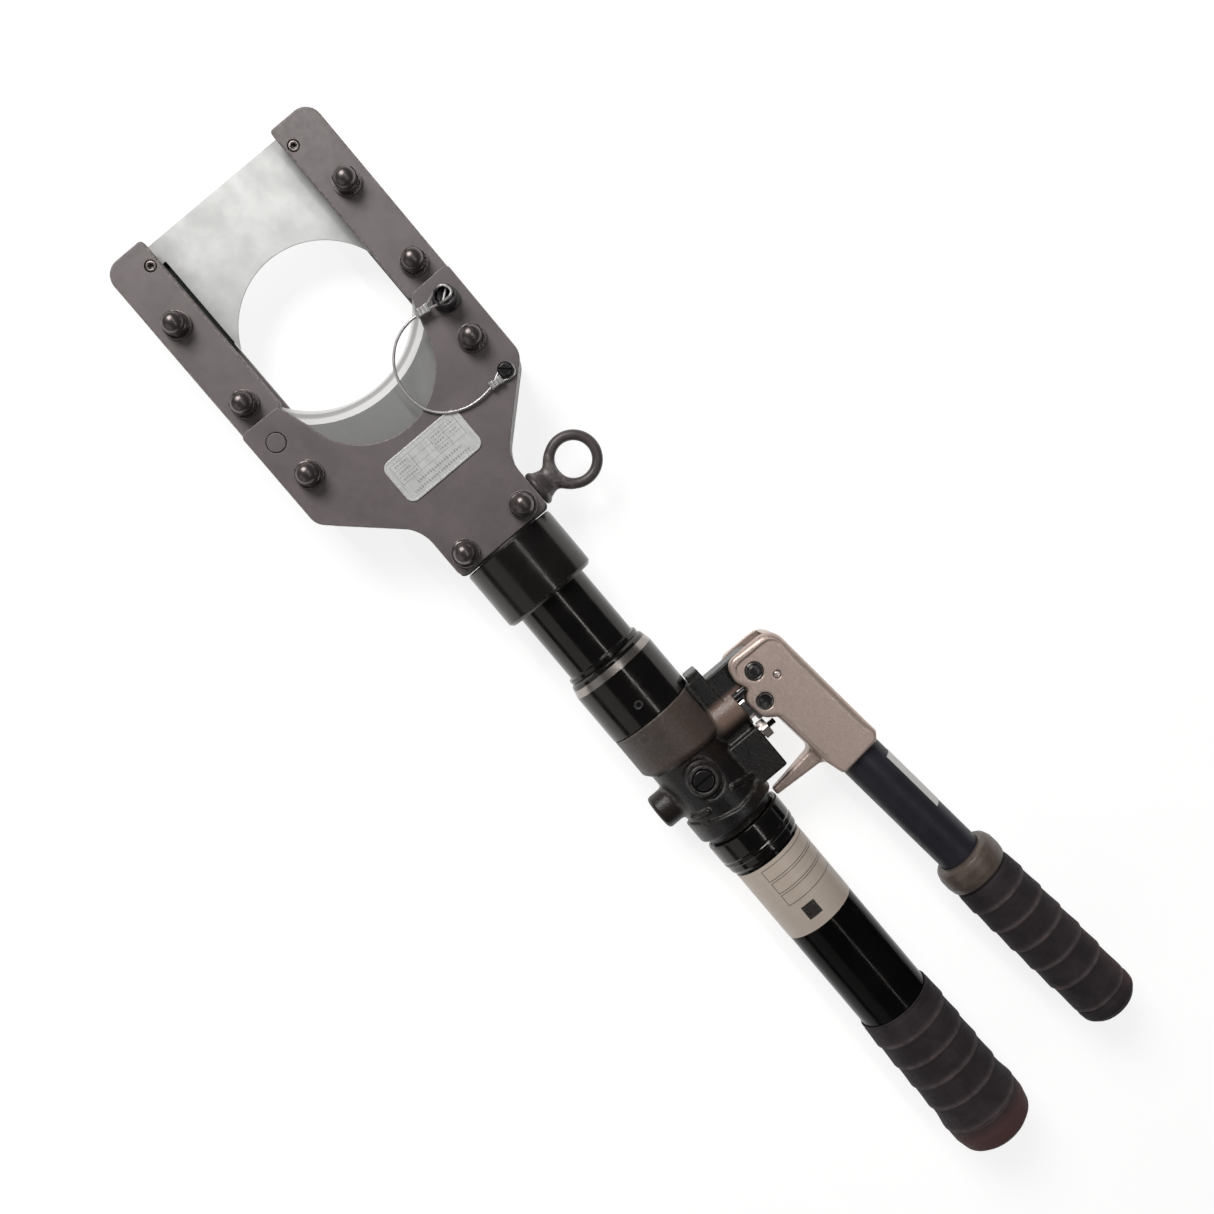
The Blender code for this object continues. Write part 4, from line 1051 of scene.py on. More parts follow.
def hex_bolt(name, x, y, z, length, body, turn):
    """Bolt whose head hangs below z."""
    radius = hexagon(6.5, 7.42, turn)
    rows = [(0.0, z - 5.4, 0), (5.9, z - 5.4, 0.2), (6.5, z - 5.33, 0.6)]
    rows += chamfer(radius, 6.5, 0.6, (0.6, z - 5.33, 0.8), (1.0, z - 5.33, 1.0),
                    (1.0, z - 5.2, 0.8))
    rows += [(radius, z - 0.7, 0.2), (lambda t: min(radius(t), 6.4) - 0.1, z - 0.55, 0.5),
             (6.3, z, 0.3), (3.9, z, 0), (3.9, z + length - 0.6, 0), (3.4, z + length, 0.3),
             (0.0, z + length, 0)]
    polar(name, rows, BLACKED, body, (x, y, 0), angle=24)


TURNS = (12.0, 41.0, 27.0, 3.0)    # degrees; nuts take them in order, bolts in reverse
for prefix, spots, face_z, body in (("gate", RAIL_BOLTS, CORE_Z, "gate"),
                                    ("yoke", YOKE_BOLTS, PLATE_OUT, "head")):
    for number, (x, y) in enumerate([(x, s * y) for s in (1, -1) for x, y in spots], 1):
        cap_nut(f"{prefix}_cap_nut_{number}", x, y, face_z + 0.3, body, TURNS[number - 1])
        hex_bolt(f"{prefix}_bolt_{number}", x, y, -face_z - 0.3, 2 * face_z + 8.0, body,
                 TURNS[-number])

for sign, side in SIDES:
    socket = hexagon(1.25)
    rows = [(0.0, 11.2, 0), (socket, 11.4, 0), (socket, 13.45, 0.3),
            (lambda t: socket(t) + 0.15, 13.6, 0.8), (1.75, 13.7, 0.4), (2.45, 13.7, 0.4),
            (2.75, 13.6, 1), (2.9, 13.35, 0.8), (2.9, 8.5, 0), (1.7, 8.4, 0), (1.7, 0.2, 0),
            (0.0, 0.1, 0)]
    polar("blade_set_screw_" + side, rows, BLACKED, "gate", (SET_SCREW[0], sign * SET_SCREW[1], 0),
          48, angle=35)

# =============================================================== yoke
SHOULDER = [(78.0, 10.5), (115.0, 22.0)]    # x and fillet of the outline's two bends
EYE_X = 136.9


def yoke_outline():
    half = [(19.2, 45.0, 2.5), (18.6, HALF_WIDTH, 3.0), (SHOULDER[0][0], HALF_WIDTH, 10.5),
            (SHOULDER[1][0], 29.5, 22.0), (147.8, 29.5, 4.3)]
    ring = [(35.6, 39.3, 0)] + half + flip(half[::-1], -1) + [(35.6, -39.3, 0)]
    return rounded(ring, 14) + arc(30.57, 0, 39.6, -80, 80, 120)


holes = [circle(x, s * y, 4.3) for s in (1, -1) for x, y in YOKE_BOLTS]
holes += [circle(PIN_X, -PIN_Y, 5.4), circle(PIN_X, PIN_Y, 5.3)]
plate("yoke_plate_front", yoke_outline(), PLATE_IN, PLATE_OUT, HEAD_PLATE, "head",
      holes=holes + [circle(*ANCHOR, 2.7)], top=0.7, bottom=0.3, hole=0.45, steps=5)
plate("yoke_plate_rear", yoke_outline(), -PLATE_OUT, -PLATE_IN, HEAD_PLATE, "head", holes=holes,
      top=0.3, bottom=0.7, hole=0.45, steps=5)

for sign, side in SIDES:
    outline = rounded([(PIN_X, 69.3, 0)] + [(x, y, r) for (x, r), y in zip(SHOULDER, (69.3, 29.4))]
                      + [(124.5, 29.4, 0), (124.5, 17.5, 0), (110, 17.5, 0), (104.5, 23.5, 0),
                         (81.0, 50.1, 0), (23.5, 50.1, 0)], 12)
    holes = [circle(PIN_X, PIN_Y, 5.2), circle(*YOKE_BOLTS[0], 4.2)]
    if sign > 0:
        outline = outline[:-1] + arc(PIN_X, PIN_Y, 11.9, 217.7, 90, 36)[:-1]
        holes.append(circle(*ANCHOR, 2.7))
    else:
        outline = ([(45.6, PIN_Y), (45.6, 69.3)] + outline[1:-1]
                   + arc(PIN_X, PIN_Y, 11.9, 217.7, 0, 48))
    spacer = plate("yoke_spacer_" + side, flip(outline, sign), -CORE_Z, CORE_Z, HEAD_PLATE,
                   holes=[flip(one, sign) for one in holes], top=0.12, bottom=0.12, hole=0.06,
                   steps=2)
    step = flip([(0, 40), (48.2, 40), (48.2, 80), (0, 80)], sign)
    boolean(spacer, cutter("front_step", step, STEP_FRONT, 30),
            cutter("rear_step", step, -30, STEP_REAR))
    finish(spacer, "head")

yoke_block = plate("yoke_block", rounded([(124.8, -29.4, 0.5), (148.3, -29.4, 2.5),
                                          (148.3, 29.4, 2.5), (124.8, 29.4, 0.5)], 6),
                   -CORE_Z, CORE_Z, HEAD_PLATE,
                   holes=[circle(YOKE_BOLTS[1][0], s * YOKE_BOLTS[1][1], 4.3) for s in (1, -1)],
                   top=0.3, bottom=0.3)
boolean(yoke_block, turned("spigot", [(147.6, 0), (147.6, 19.7), (160.0, 19.7), (160.0, 0)], "X"),
        kind="UNION")
boolean(yoke_block, turned("bore", [(120, 0), (120, 11.35), (165, 11.35), (165, 0)], "X"),
        turned("tap", [(23.8, 0), (23.8, 4.35), (35, 4.35), (35, 0)], "Y", at=(EYE_X, 0, 0),
               segs=48))
finish(yoke_block, "head")

# Hinge pin, nearly flush and painted over with the plate, in its ring-shaped gap.
turned("gate_hinge_pin", [(-20.2, 0), (-20.2, 4.6, 0.4), (14.2, 4.6), (14.6, 5.0),
                          (20.8, 5.0, 0.5), (20.8, 0)], "Z", HEAD_PLATE, "head",
       (PIN_X, -PIN_Y, 0), 64)

# Latch pin: chamfered nose, flange, and a hollow head cross-drilled for the wire.
latch = turned("latch_pin", [(-20.0, 0), (-20.0, 3.6, 0.4), (-18.6, 4.9, 0.5), (20.8, 4.9, 0.1),
                             (20.8, 7.2, 0.4), (23.2, 7.2, 0.8), (24.6, 6.1, 1.0),
                             (33.9, 5.75, 0.4), (33.9, 4.8, 0.35), (27.5, 4.5, 0.8), (27.0, 0)],
               "Z", DARK_SCREW, at=(PIN_X, PIN_Y, 0), segs=72)
# Mouths of the cross hole in the head's wall, and the point midway.
CROSS_A, CROSS_B = np.array((35.2, 54.4, 30.8)), np.array((29.6, 61.4, 30.8))
CROSS_MID = (CROSS_A + CROSS_B) / 2
boolean(latch, make("cross", *swept([CROSS_A + (CROSS_A - CROSS_B) * 0.5, CROSS_MID,
                                     CROSS_B + (CROSS_B - CROSS_A) * 0.5], 1.35, 24)))
finish(latch, "latch")

anchor = turned("lanyard_anchor_screw", [(10.0, 0), (10.0, 2.35, 0.2), (22.4, 2.35, 0.1),
                                         (22.4, 4.2, 0.3), (23.6, 4.2, 0.5), (24.5, 3.0, 0.6),
                                         (24.5, 0)], "Z", DARK_SCREW, at=(*ANCHOR, 0), segs=56)
boolean(anchor, block("slot", (-6, 6), (-0.6, 0.6), (23.3, 30), at=(*ANCHOR, 0), turn=48))
finish(anchor, "head")


def eye_field(points):
    """Lifting ring: a forged bar ring that swells into its neck and collar."""
    ring_y = 56.1
    x, y, z = (points - np.array((EYE_X, 0, 0))).T
    rho = np.hypot(x, z)
    ring = torus_field(points, (EYE_X, ring_y, 0), 13.0, 2.95)
    width = np.interp(y, [30, 34, 37.5, 40.5, 44], [9.0, 8.4, 7.2, 6.9, 7.6])
    depth = np.interp(y, [30, 34, 38, 44], [9.0, 7.4, 4.8, 3.1])
    oval = np.sqrt((x / width) ** 2 + (z / depth) ** 2)
    neck = np.maximum((oval - 1) * np.minimum(width, depth) * 0.9, np.maximum(31 - y, y - 44.6))
    neck = np.maximum(neck, 10.4 - np.hypot(x, y - ring_y))
    d = add(ring, neck, 3.2)
    d = add(d, both(rho - 10.0, np.abs(y - 31.6) - 1.8, 1.7), 1.4)
    return np.minimum(d, both(rho - 3.9, np.abs(y - 27.3) - 3.1, 0.4))


moulded("eye_bolt", eye_field, (119, 23, -11.5), (155, 74, 11.5), 0.5, EYE, "head")

# =============================================================== cylinder, ram, blade
BLADE_PIN_X = 126

turned("cylinder_collar", [(149.2, 20.1), (149.2, 27.4, 0.3), (150.0, 27.9, 0.3),
                           (151.4, 28.0, 0.4), (183.4, 28.0, 1.6), (185.2, 26.2, 1.0),
                           (185.2, 21.6), (160.4, 21.6), (160.4, 20.1)],
       "X", GLOSS_COLLAR, "head", segs=160, closed=True)
turned("cylinder_tube", [(160.8, 15.0), (160.8, 21.25), (226.6, 21.25, 0.3), (227.3, 22.7, 0.3),
                         (228.2, 22.9, 0.3), (229.7, 22.8, 0.4), (229.8, 18.6), (240.0, 18.6),
                         (240.0, 21.2), (245.5, 21.2), (245.5, 18.6), (274.0, 18.6), (274.0, 1.8),
                         (269.0, 1.8), (269.0, 15.0)],
       "X", GLOSS, "head", segs=160, closed=True)

rod = turned("ram", [(118.0, 0), (118.0, 10.6, 0.5), (119.0, 11.0, 0.4), (254.0, 11.0),
                     (254.0, 14.6, 0.3), (258.0, 14.6), (258.0, 12.4), (262.2, 12.4),
                     (262.2, 14.6), (266.0, 14.6, 0.3), (266.0, 5.6), (140.0, 5.6), (140.0, 0)],
             "X", CHROME)
boolean(rod, block("ram_slot", (110, 135.5), (-20, 20), (-0.1, 8.2)),
        turned("pin_hole", [(-15, 0), (-15, 3.9), (15, 3.9), (15, 0)], "Z",
               at=(BLADE_PIN_X, 0, 0), segs=40))
finish(rod, "ram")
turned("blade_pin", [(-9.4, 0), (-9.4, 3.5, 0.5), (9.6, 3.5, 0.5), (9.6, 0)], "Z", BLACKED, "ram",
       (BLADE_PIN_X, 0, 0), 48)


def moving_blade():
    """Blade on the ram, its round edge bevelled on the front."""
    edge_x, edge_r, tip_x = -13.9, 54.5, 14.0
    half = math.degrees(math.asin(math.sqrt(edge_r ** 2 - (tip_x - edge_x) ** 2) / edge_r))
    flank = [(tip_x, 49.7, 0), (78.0, 49.7, 3), (100.0, 24.5, 3), (107.0, 7.6, 3), (133.5, 7.6, 4)]
    outline = rounded(flip(flank, -1) + flank[::-1], 8) + arc(edge_x, 0, edge_r, half, -half, 140)
    blade = plate("moving_blade", outline, 0.2, 7.9, [BLADE_MOVING, EDGE],
                  holes=[circle(BLADE_PIN_X, 0, 3.9)], top=0.2, bottom=0.05, steps=2)
    boolean(blade, turned("bevel", [(8.4, 0), (8.4, 63.4), (0.8, 54.8), (0.8, 0)], "Z",
                          at=(BEVEL_X, 0, 0), segs=256))
    second_material(blade, lambda x, y, z, tilt: (0.3 < tilt < 0.95 and x < 52
                                                  and math.hypot(x - BEVEL_X, y) < 64.2))
    finish(blade, "ram", angle=16)


moving_blade()

# =============================================================== pump body
SLEEVE_SCREW = (258.2, -1.8, 0)
RELIEF = (311.4, -1.4)
PLUNGER_X, CHECK_X, RELEASE_X = 299.2, 314.7, 316.3
PIVOT, LINK = (285.8, 56.8), (301.7, 51.0)

sleeve = turned("swivel_sleeve", [(230.2, 19.0), (230.2, 22.9, 0.3), (231.5, 24.1, 0.5),
                                  (233.3, 24.5, 0.3), (237.6, 25.6, 0.5), (268.3, 25.6, 0.35),
                                  (268.3, 21.7), (239.7, 21.7), (239.7, 19.0)],
                "X", [GLOSS, SLEEVE_STEEL], segs=160, closed=True)
boolean(sleeve, turned("hole", [(15, 0), (15, 2.9), (30, 2.9), (30, 0)], "Z", at=SLEEVE_SCREW,
                       segs=40))
second_material(sleeve, lambda x, y, z, tilt: 233.35 < x < 237.5 and math.hypot(y, z) > 23)
finish(sleeve, "pump")
socket = hexagon(1.3)
polar("sleeve_set_screw", [(0.0, 23.2, 0), (socket, 23.3, 0), (socket, 25.0, 0.5),
                           (1.8, 25.2, 0.5), (2.35, 25.15, 1), (2.6, 24.9, 0.6), (2.6, 22.0, 0),
                           (0.0, 21.9, 0)], DARK_SCREW, "pump", SLEEVE_SCREW, 48, angle=35)

# Barrel profile: x, radius, fillet. Lever ear: x, y, fillet. Ribs on the front: x, y, z.
BODY_PROFILE = rounded([(268.9, 0, 0), (268.9, 25.3, 0.6), (294.6, 25.4, 3.2), (298.4, 22.2, 1.2),
                        (338.5, 22.3, 2.0), (346.6, 20.6, 0.6), (346.6, 0, 0)], 6)
EAR = rounded([(273.4, 21, 0), (273.4, 68.0, 11.0), (292.0, 68.0, 9.0), (296.0, 57.0, 6.0),
               (289.4, 47.0, 2.0), (289.4, 21, 0)], 8)
RIBS = (((324.8, 8.6, 20.8), (326.9, 14.6, 17.2), (328.8, 19.6, 13.6)),
        ((325.6, -18.8, 13.2), (326.0, -14.7, 17.6), (326.4, -10.2, 20.6)))


def rib_field(points, path):
    best = np.full(len(points), 1e9)
    for start, end in zip(path, path[1:]):
        edge = np.array(end) - np.array(start)
        from_start = points - np.array(start)
        t = np.clip((from_start @ edge) / (edge @ edge), 0, 1)
        best = np.minimum(best, np.linalg.norm(from_start - t[:, None] * edge, axis=1))
    return best - 1.5


def housing_field(points):
    x, y, z = points[:, 0], points[:, 1], points[:, 2]
    rho = np.hypot(y, z)
    # The barrel's shoulder runs slightly aslant.
    lean = 0.09 * y * np.exp(-((x - 296.0) / 9.0) ** 2)
    d = outline_field(x - lean, rho, BODY_PROFILE + flip(BODY_PROFILE[::-1], -1))
    # End flange, its near edge drawn out towards the reservoir on the front.
    flange = np.where(z > 0, np.interp(y, [-24, -19.2, -7.0, 3.9, 15.1, 24],
                                       [328.0, 329.6, 333.0, 335.2, 334.2, 331.0]), 329.0)
    d = add(d, both(rho - 24.3, np.maximum(flange - x, x - 342.2) * 0.92, 1.5), 1.1)
    # Plunger boss, valve block, check valve boss.
    d = add(d, cylinder_field(points, "Y", (297.4, 0), 12.5, 4, 39.5, 0.9), 1.4)
    d = add(d, box_field(points, (310.2, 4, -12.3), (336.8, 38.9, 12.3), 1.3), 1.2)
    d = add(d, cylinder_field(points, "Y", (CHECK_X, 0), 10.2, -32.8, -5, 2.2), 2.5)
    # Foot of the ear, its step over the sleeve, and the ear.
    d = add(d, box_field(points, (268.9, 14, -9.4), (297.0, 33.9, 9.4), 0.9), 1.2)
    d = add(d, box_field(points, (265.4, 26.2, -9.4), (290.0, 33.9, 9.4), 0.9), 0.6)
    d = add(d, both(outline_field(x, y, EAR), np.abs(z) - 8.6, 1.1), 0.8)
    # Web between the plunger boss and the valve block, set back from both.
    d = add(d, box_field(points, (298.0, 4, -8.0), (312.0, 36.0, 8.0), 1.0), 1.2)
    for path in RIBS:
        d = add(d, rib_field(points, path), 1.3)
    # Relief valve boss in its moat.
    d = carve(d, torus_field(points, (*RELIEF, 22.0), 10.6, 1.2), 1.0)
    d = add(d, cylinder_field(points, "Z", RELIEF, 8.8, 8, 25.3, 1.5), 0.8)
    d = carve(d, cylinder_field(points, "Z", RELIEF, 6.3, 14, 31), 0.5)
    # Plunger bore and the space above it, valve bores, pivot hole.
    d = carve(d, cylinder_field(points, "Y", (PLUNGER_X, 0), 8.95, 8, 80), 0.4)
    d = carve(d, box_field(points, (290.35, 39.9, -9.1), (315.0, 80, 9.1), 0.2), 0.3)
    d = carve(d, cylinder_field(points, "Y", (CHECK_X, 0), 7.3, -45, -22), 0.4)
    d = carve(d, cylinder_field(points, "Y", (RELEASE_X, 0), 4.6, 16, 60), 0.2)
    d = carve(d, cylinder_field(points, "Z", PIVOT, 3.6, -30, 30), 0.2)
    # Spigots into the sleeve and the reservoir, and the bore for the cylinder tube.
    d = np.minimum(d, both(rho - 21.3, np.abs(x - 257.4) - 11.6, 0.2))
    d = np.minimum(d, both(rho - 19.3, np.abs(x - 350.4) - 6.6, 0.2))
    return np.maximum(d, -both(rho - 19.1, np.abs(x - 250.0) - 25.6, 0.2))


housing = moulded("pump_housing", housing_field, (244.5, -34.5, -27.5), (359, 70, 27.5), 0.62,
                  [CAST, CAST_BARREL], "pump")
second_material(housing, lambda x, y, z, tilt: (268.0 < x < 297.6 + 0.09 * y and y < 22.5
                                                and 23.2 < math.hypot(y, z) < 25.9))

polar("lever_pivot_pin", both_ends([
    (0.0, 16.7, 0), (2.3, 16.75, 0.2), (2.9, 16.6, 0.8), (3.25, 16.2, 1), (3.35, 15.7, 0.3),
    (3.6, 15.55, 0), (3.9, 15.75, 0.6), (4.3, 15.9, 0.9), (4.7, 15.7, 0.9), (4.8, 15.3, 0.4),
    (4.8, 12.1, 0), (3.25, 12.1, 0)]), DARK_SCREW, "pump", (*PIVOT, 0), angle=40)

radius = hexagon(5.3, 6.05, turn=11)
rows = [(2.2, 40.5, 0), (2.2, 44.3, 0), (2.5, 44.45, 0.5), (4.9, 44.45, 0.3), (5.2, 44.38, 0.8)]
rows += chamfer(radius, 5.2, -0.55, (0.6, 44.38, 0.9), (1.0, 44.38, 1), (1.0, 44.2, 0.8))
rows += [(radius, 40.2, 0.2), (5.5, 39.8, 0), (4.2, 39.8, 0), (4.2, 24.0, 0), (3.4, 24.0, 0),
         (3.4, 40.5, 0), (2.2, 40.5, 0)]
polar("release_valve_nut", rows, ZINC, "pump", (RELEASE_X, 0, 0), axis="Y", angle=24)

stem = [(20.5, 0), (20.5, 2.9, 0.3), (23.0, 2.9, 0.2), (23.0, 1.75)]
groove_y = 44.9
while groove_y < 48.2:
    stem += [(groove_y, 1.75), (groove_y + 0.25, 1.4), (groove_y + 0.55, 1.4),
             (groove_y + 0.8, 1.75)]
    groove_y += 1.1
stem += [(48.4, 1.75), (49.0, 1.3), (49.0, 0)]
turned("release_valve_stem", stem, "Y", DARK_SCREW, "release", (RELEASE_X, 0, 0), 40, angle=35)


def coil(radius, start, height, turns, count):
    """Points of a coil about the release valve's axis."""
    angles = [2 * math.pi * turns * k / count for k in range(count + 1)]
    return [(RELEASE_X + radius * math.cos(a), start + height * k / count, radius * math.sin(a))
            for k, a in enumerate(angles)]


spring = make("release_valve_spring",
              *swept(coil(radius=2.6, start=16.8, height=2.8, turns=2.5, count=90), 0.35, 12),
              SPRING, "pump", angle=60)
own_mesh(spring)

relief = turned("relief_valve_plug", [(14.4, 0), (14.4, 5.9), (23.9, 5.9, 0.5), (24.6, 5.2, 0.4),
                                      (24.6, 0)], "Z", DARK_SCREW, at=(*RELIEF, 0), segs=72)
boolean(relief, block("slot", (-0.65, 0.65), (-9, 9), (23.2, 30), at=(*RELIEF, 0)))
finish(relief, "pump")
socket = hexagon(2.6)
polar("check_valve_plug", [(0.0, -28.2, 0), (socket, -28.3, 0), (socket, -31.2, 0.6),
                           (3.3, -31.6, 0.6), (6.3, -31.6, 0.4), (6.8, -31.3, 1),
                           (6.9, -30.8, 0.5), (6.9, -22.4, 0), (0.0, -22.4, 0)],
      BLACKED, "pump", (CHECK_X, 0, 0), axis="Y", angle=35)
turned("plunger_stop_pin", [(39.2, 0), (39.2, 1.5, 0.2), (47.2, 1.5, 0.5), (47.2, 0)], "Y",
       DARK_SCREW, "pump", (291.0, 0, 9.8), 32, replaces=False)

plunger = turned("pump_plunger", [(12.0, 0), (12.0, 8.6, 0.7), (43.2, 8.6, 0.5), (43.2, 0)], "Y",
                 CHROME, at=(PLUNGER_X, 0, 0))
eye_plate = rounded([(292.4, 42.4, 0), (309.6, 42.4, 1.5), (309.6, 58.2, 4), (292.4, 58.2, 4)], 8)
boolean(plunger, plate("eye", eye_plate, -7.0, 7.0, CHROME, top=0.6, bottom=0.6), kind="UNION")
link_slot = rounded([(294.1, 45.75, 4.9), (307.4, 45.75, 4.9), (307.4, 56.25, 4.9),
                     (294.1, 56.25, 4.9)], 10)
boolean(plunger, cutter("eye_slot", link_slot, -12, 12))
finish(plunger, "plunger")

# =============================================================== pump lever
LEVER_ANGLE = 5.79
ALONG = np.array((math.cos(math.radians(LEVER_ANGLE)), math.sin(math.radians(LEVER_ANGLE)), 0))
ACROSS = np.array((-ALONG[1], ALONG[0], 0))
TUBE_ZERO = np.array((368.0, 73.26, 0))    # lengths along the lever tube count from here
LOCK_SCREW = (294.9, 65.2)

# Outlines of the lever casting: x, y, fillet.
LEVER_OUT = rounded([
    (272.6, 78.9, 10.5), (353.4, 86.8, 3.5), (357.6, 83.4, 2.0), (359.9, 58.6, 2.5),
    (349.5, 55.4, 3.0), (313.6, 51.4, 3.0), (308.6, 44.6, 6.5), (295.2, 43.0, 6.0),
    (291.4, 48.4, 2.0), (284.0, 45.2, 7.0), (272.8, 47.2, 7.0)], 8)
CAVITY = rounded([(265.0, 40.0, 0), (265.0, 72.6, 0), (283.0, 74.2, 6), (319.5, 75.5, 6),
                  (319.5, 40.0, 0)], 6)
SPUR = rounded([(339.6, 62, 0), (341.0, 50.0, 0), (344.5, 23.9, 1.2), (348.9, 23.9, 1.2),
                (349.9, 62, 0)], 5)
PAD = rounded([(277.3, 49.5, 5), (277.3, 76.0, 6), (306, 78.0, 5), (306, 47.5, 6),
               (301.5, 44.0, 4), (293.5, 46.6, 3)], 6)


def lever_field(points):
    x, y, z = points[:, 0], points[:, 1], points[:, 2]
    # Broad fillet along the back of the lever, a tighter one below and at the tube end.
    edge = np.interp(y - 0.1 * (x - 272), [52, 70], [2.6, 4.6])
    edge = np.where(x > 345, np.interp(x, [345, 356], [1.0, 0.4]) * edge, edge)
    d = both(outline_field(x, y, LEVER_OUT), np.abs(z) - 16.2, edge)
    spur_half = np.interp(y, [24, 50], [3.2, 6.0])
    d = add(d, both(outline_field(x, y, SPUR), np.abs(z) - spur_half, 1.9), 4.5)
    # Sunk pads on the front and rear, their floors sloping outwards along x.
    pad, floor = outline_field(x, y, PAD), 15.3 + (x - 277.3) * 0.11
    for sign in (1, -1):
        d = carve(d, both(pad, floor - sign * z, 0.3), 1.3)
    d = carve(d, both(outline_field(x, y, CAVITY), np.abs(z) - 12.0, 0.5), 0.6)
    # Tube socket.
    q = (points - TUBE_ZERO) @ np.stack([ALONG, ACROSS, (0, 0, 1.0)], 1)
    d = carve(d, both(np.hypot(q[:, 1], q[:, 2]) - 13.1, np.abs(q[:, 0] + 16.0) - 26.0, 0.1), 0.4)
    d = carve(d, cylinder_field(points, "Z", PIVOT, 5.1, -30, 30), 0.5)
    d = carve(d, cylinder_field(points, "Z", LINK, 4.75, -30, 30), 0.5)
    return carve(d, cylinder_field(points, "Z", LOCK_SCREW, 2.15, 12.5, 30), 0.3)


moulded("lever_casting", lever_field, (270.5, 22, -18), (361, 89, 18), 0.58, LEVER, "lever")

polar("lever_link_pin", both_ends([
    (0.0, 15.1, 0), (0.5, 15.2, 0), (1.2, 15.5, 0.2), (2.9, 15.5, 0), (3.2, 15.6, 0.1),
    (3.45, 16.2, 0.6), (3.7, 16.4, 1), (4.1, 16.35, 1), (4.4, 16.0, 0.4)]),
      DARK_SCREW, "lever", (*LINK, 0), angle=40)
screw = turned("lever_lock_screw", [(12.4, 0), (12.4, 1.8), (15.4, 1.85, 0.3), (15.9, 1.2, 0.3),
                                    (16.0, 0)], "Z", ZINC, at=(*LOCK_SCREW, 0), segs=40)
boolean(screw, block("slot", (-0.35, 0.35), (-5.2, 4.8), (15.3, 20), at=(*LOCK_SCREW, 0)))
finish(screw, "lever")

turned("lever_tube", [(-41.6, 10.8), (-41.6, 12.8, 0.4), (187.5, 12.8), (187.5, 10.8)], "X", TUBE,
       "lever", TUBE_ZERO, 112, closed=True, turn=LEVER_ANGLE)


def scallop(along, rings):
    """Swell and a painted-highlight mark on a grip: each span swells to its far edge, then drops
    into a groove.
    """
    height, width = 0.9, 1.1    # of the swell, of the groove
    for start, end in zip(rings, rings[1:]):
        if start <= along < end:
            swell = height * (((along - start) / (end - start)) ** 1.6) - height * 0.5
            edge = (end - along) / width
            if edge < 1:
                swell = height * (edge ** 0.6) * 0.9 - height * 0.62
            # The mark lies on the lip before each groove, where a highlight is painted.
            lip = (end - along - width * 1.1) / (width * 1.6)
            return swell, math.exp(-lip * lip)
    return 0.0, 0.0


def grip(name, profile, rings, inner, materials, body, at=(0, 0, 0), turn=0.0):
    """A moulded grip from an open profile along X, behind an `inner` face."""
    base = fillet([(*p, 0) if len(p) == 2 else p for p in profile], 6, False)[0]
    fine = []
    for (h0, r0), (h1, r1) in zip(base, base[1:]):
        count = max(1, int(abs(h1 - h0) / 0.5))
        fine += [(h0 + (h1 - h0) * (k / count), r0 + (r1 - r0) * (k / count))
                 for k in range(count)]
    points, marks = list(inner), [0.0] * len(inner)
    for along, radius in fine + base[-1:]:
        swell, mark = scallop(along, rings)
        points.append((along, radius + swell))
        marks.append(mark)
    verts, faces = spun(points, "X", 128)
    return make(name, turn_z(verts, turn) + np.array(at, float), faces, materials, body,
                np.repeat(marks, 128), angle=55, weighted=False)


lever_grip = grip(
    "lever_grip",
    [(72.5, 13.1), (72.5, 15.3, 0.8), (74.0, 17.4, 1.6), (77.5, 18.7, 3.0), (83.0, 18.9, 3.0),
     (87.0, 18.2, 1.0), (88.3, 16.7, 0.4), (89.3, 16.6, 0.3), (90.2, 17.9, 0.6), (92.5, 18.3, 1.0),
     (155.0, 18.1, 20), (180.0, 17.6, 5), (184.5, 17.3, 2), (187.5, 17.8, 2), (191.5, 17.4, 2.5),
     (195.0, 14.4, 2.0), (196.5, 9.5, 1.5), (196.5, 0)],
    rings=[89.0, 103.5, 118.3, 134.0, 149.5, 165.0, 184.5], inner=[(187.9, 0.0), (187.9, 13.1)],
    materials=[GRIP_LEVER, GRIP_RING], body="lever", at=TUBE_ZERO, turn=LEVER_ANGLE)
second_material(lever_grip, lambda x, y, z, tilt: (np.array((x, y, z)) - TUBE_ZERO) @ ALONG < 88.0)

# =============================================================== reservoir and handle
turned("reservoir_collar", [
    (347.0, 21.65), (347.0, 23.1, 0.4), (348.0, 23.35, 0.4), (357.8, 23.3, 1.0),
    (358.8, 22.9, 0.3), (359.4, 22.9, 0.2), (359.9, 23.25, 0.2), (361.2, 23.2, 0.3),
    (361.7, 22.75, 0.2), (365.0, 22.6, 0.6), (366.6, 21.9, 0.3), (366.6, 21.65)],
       "X", GLOSS, "pump", segs=160, closed=True)
turned("reservoir_tube", [(564.7, 0), (564.7, 19.7), (347.2, 19.7), (347.2, 21.3), (567.2, 21.3),
                          (567.2, 0)], "X", GLOSS_RESERVOIR, "pump", segs=160)
grip("handle_grip",
     [(479.5, 21.6), (479.5, 22.3, 0.5), (482.5, 23.0, 2.0), (541.0, 22.9, 12.0),
      (547.0, 23.0, 4.0), (554.0, 23.8, 4.0), (564.5, 23.7, 4.5), (571.7, 22.0, 3.5),
      (575.2, 17.8, 2.5), (HANDLE_END, 12.0, 2.0), (HANDLE_END, 0)],
     rings=[480.0, 495.0, 510.3, 525.0, 540.5, 556.5], inner=[(567.6, 0.0), (567.6, 21.6)],
     materials=GRIP, body="pump")
turned("reservoir_label", [(368.6, 21.32), (368.6, 21.47, 0.03), (413.9, 21.47, 0.03),
                           (413.9, 21.32)], "X", LABEL, "pump", segs=160, closed=True,
       weighted=False, replaces=False)


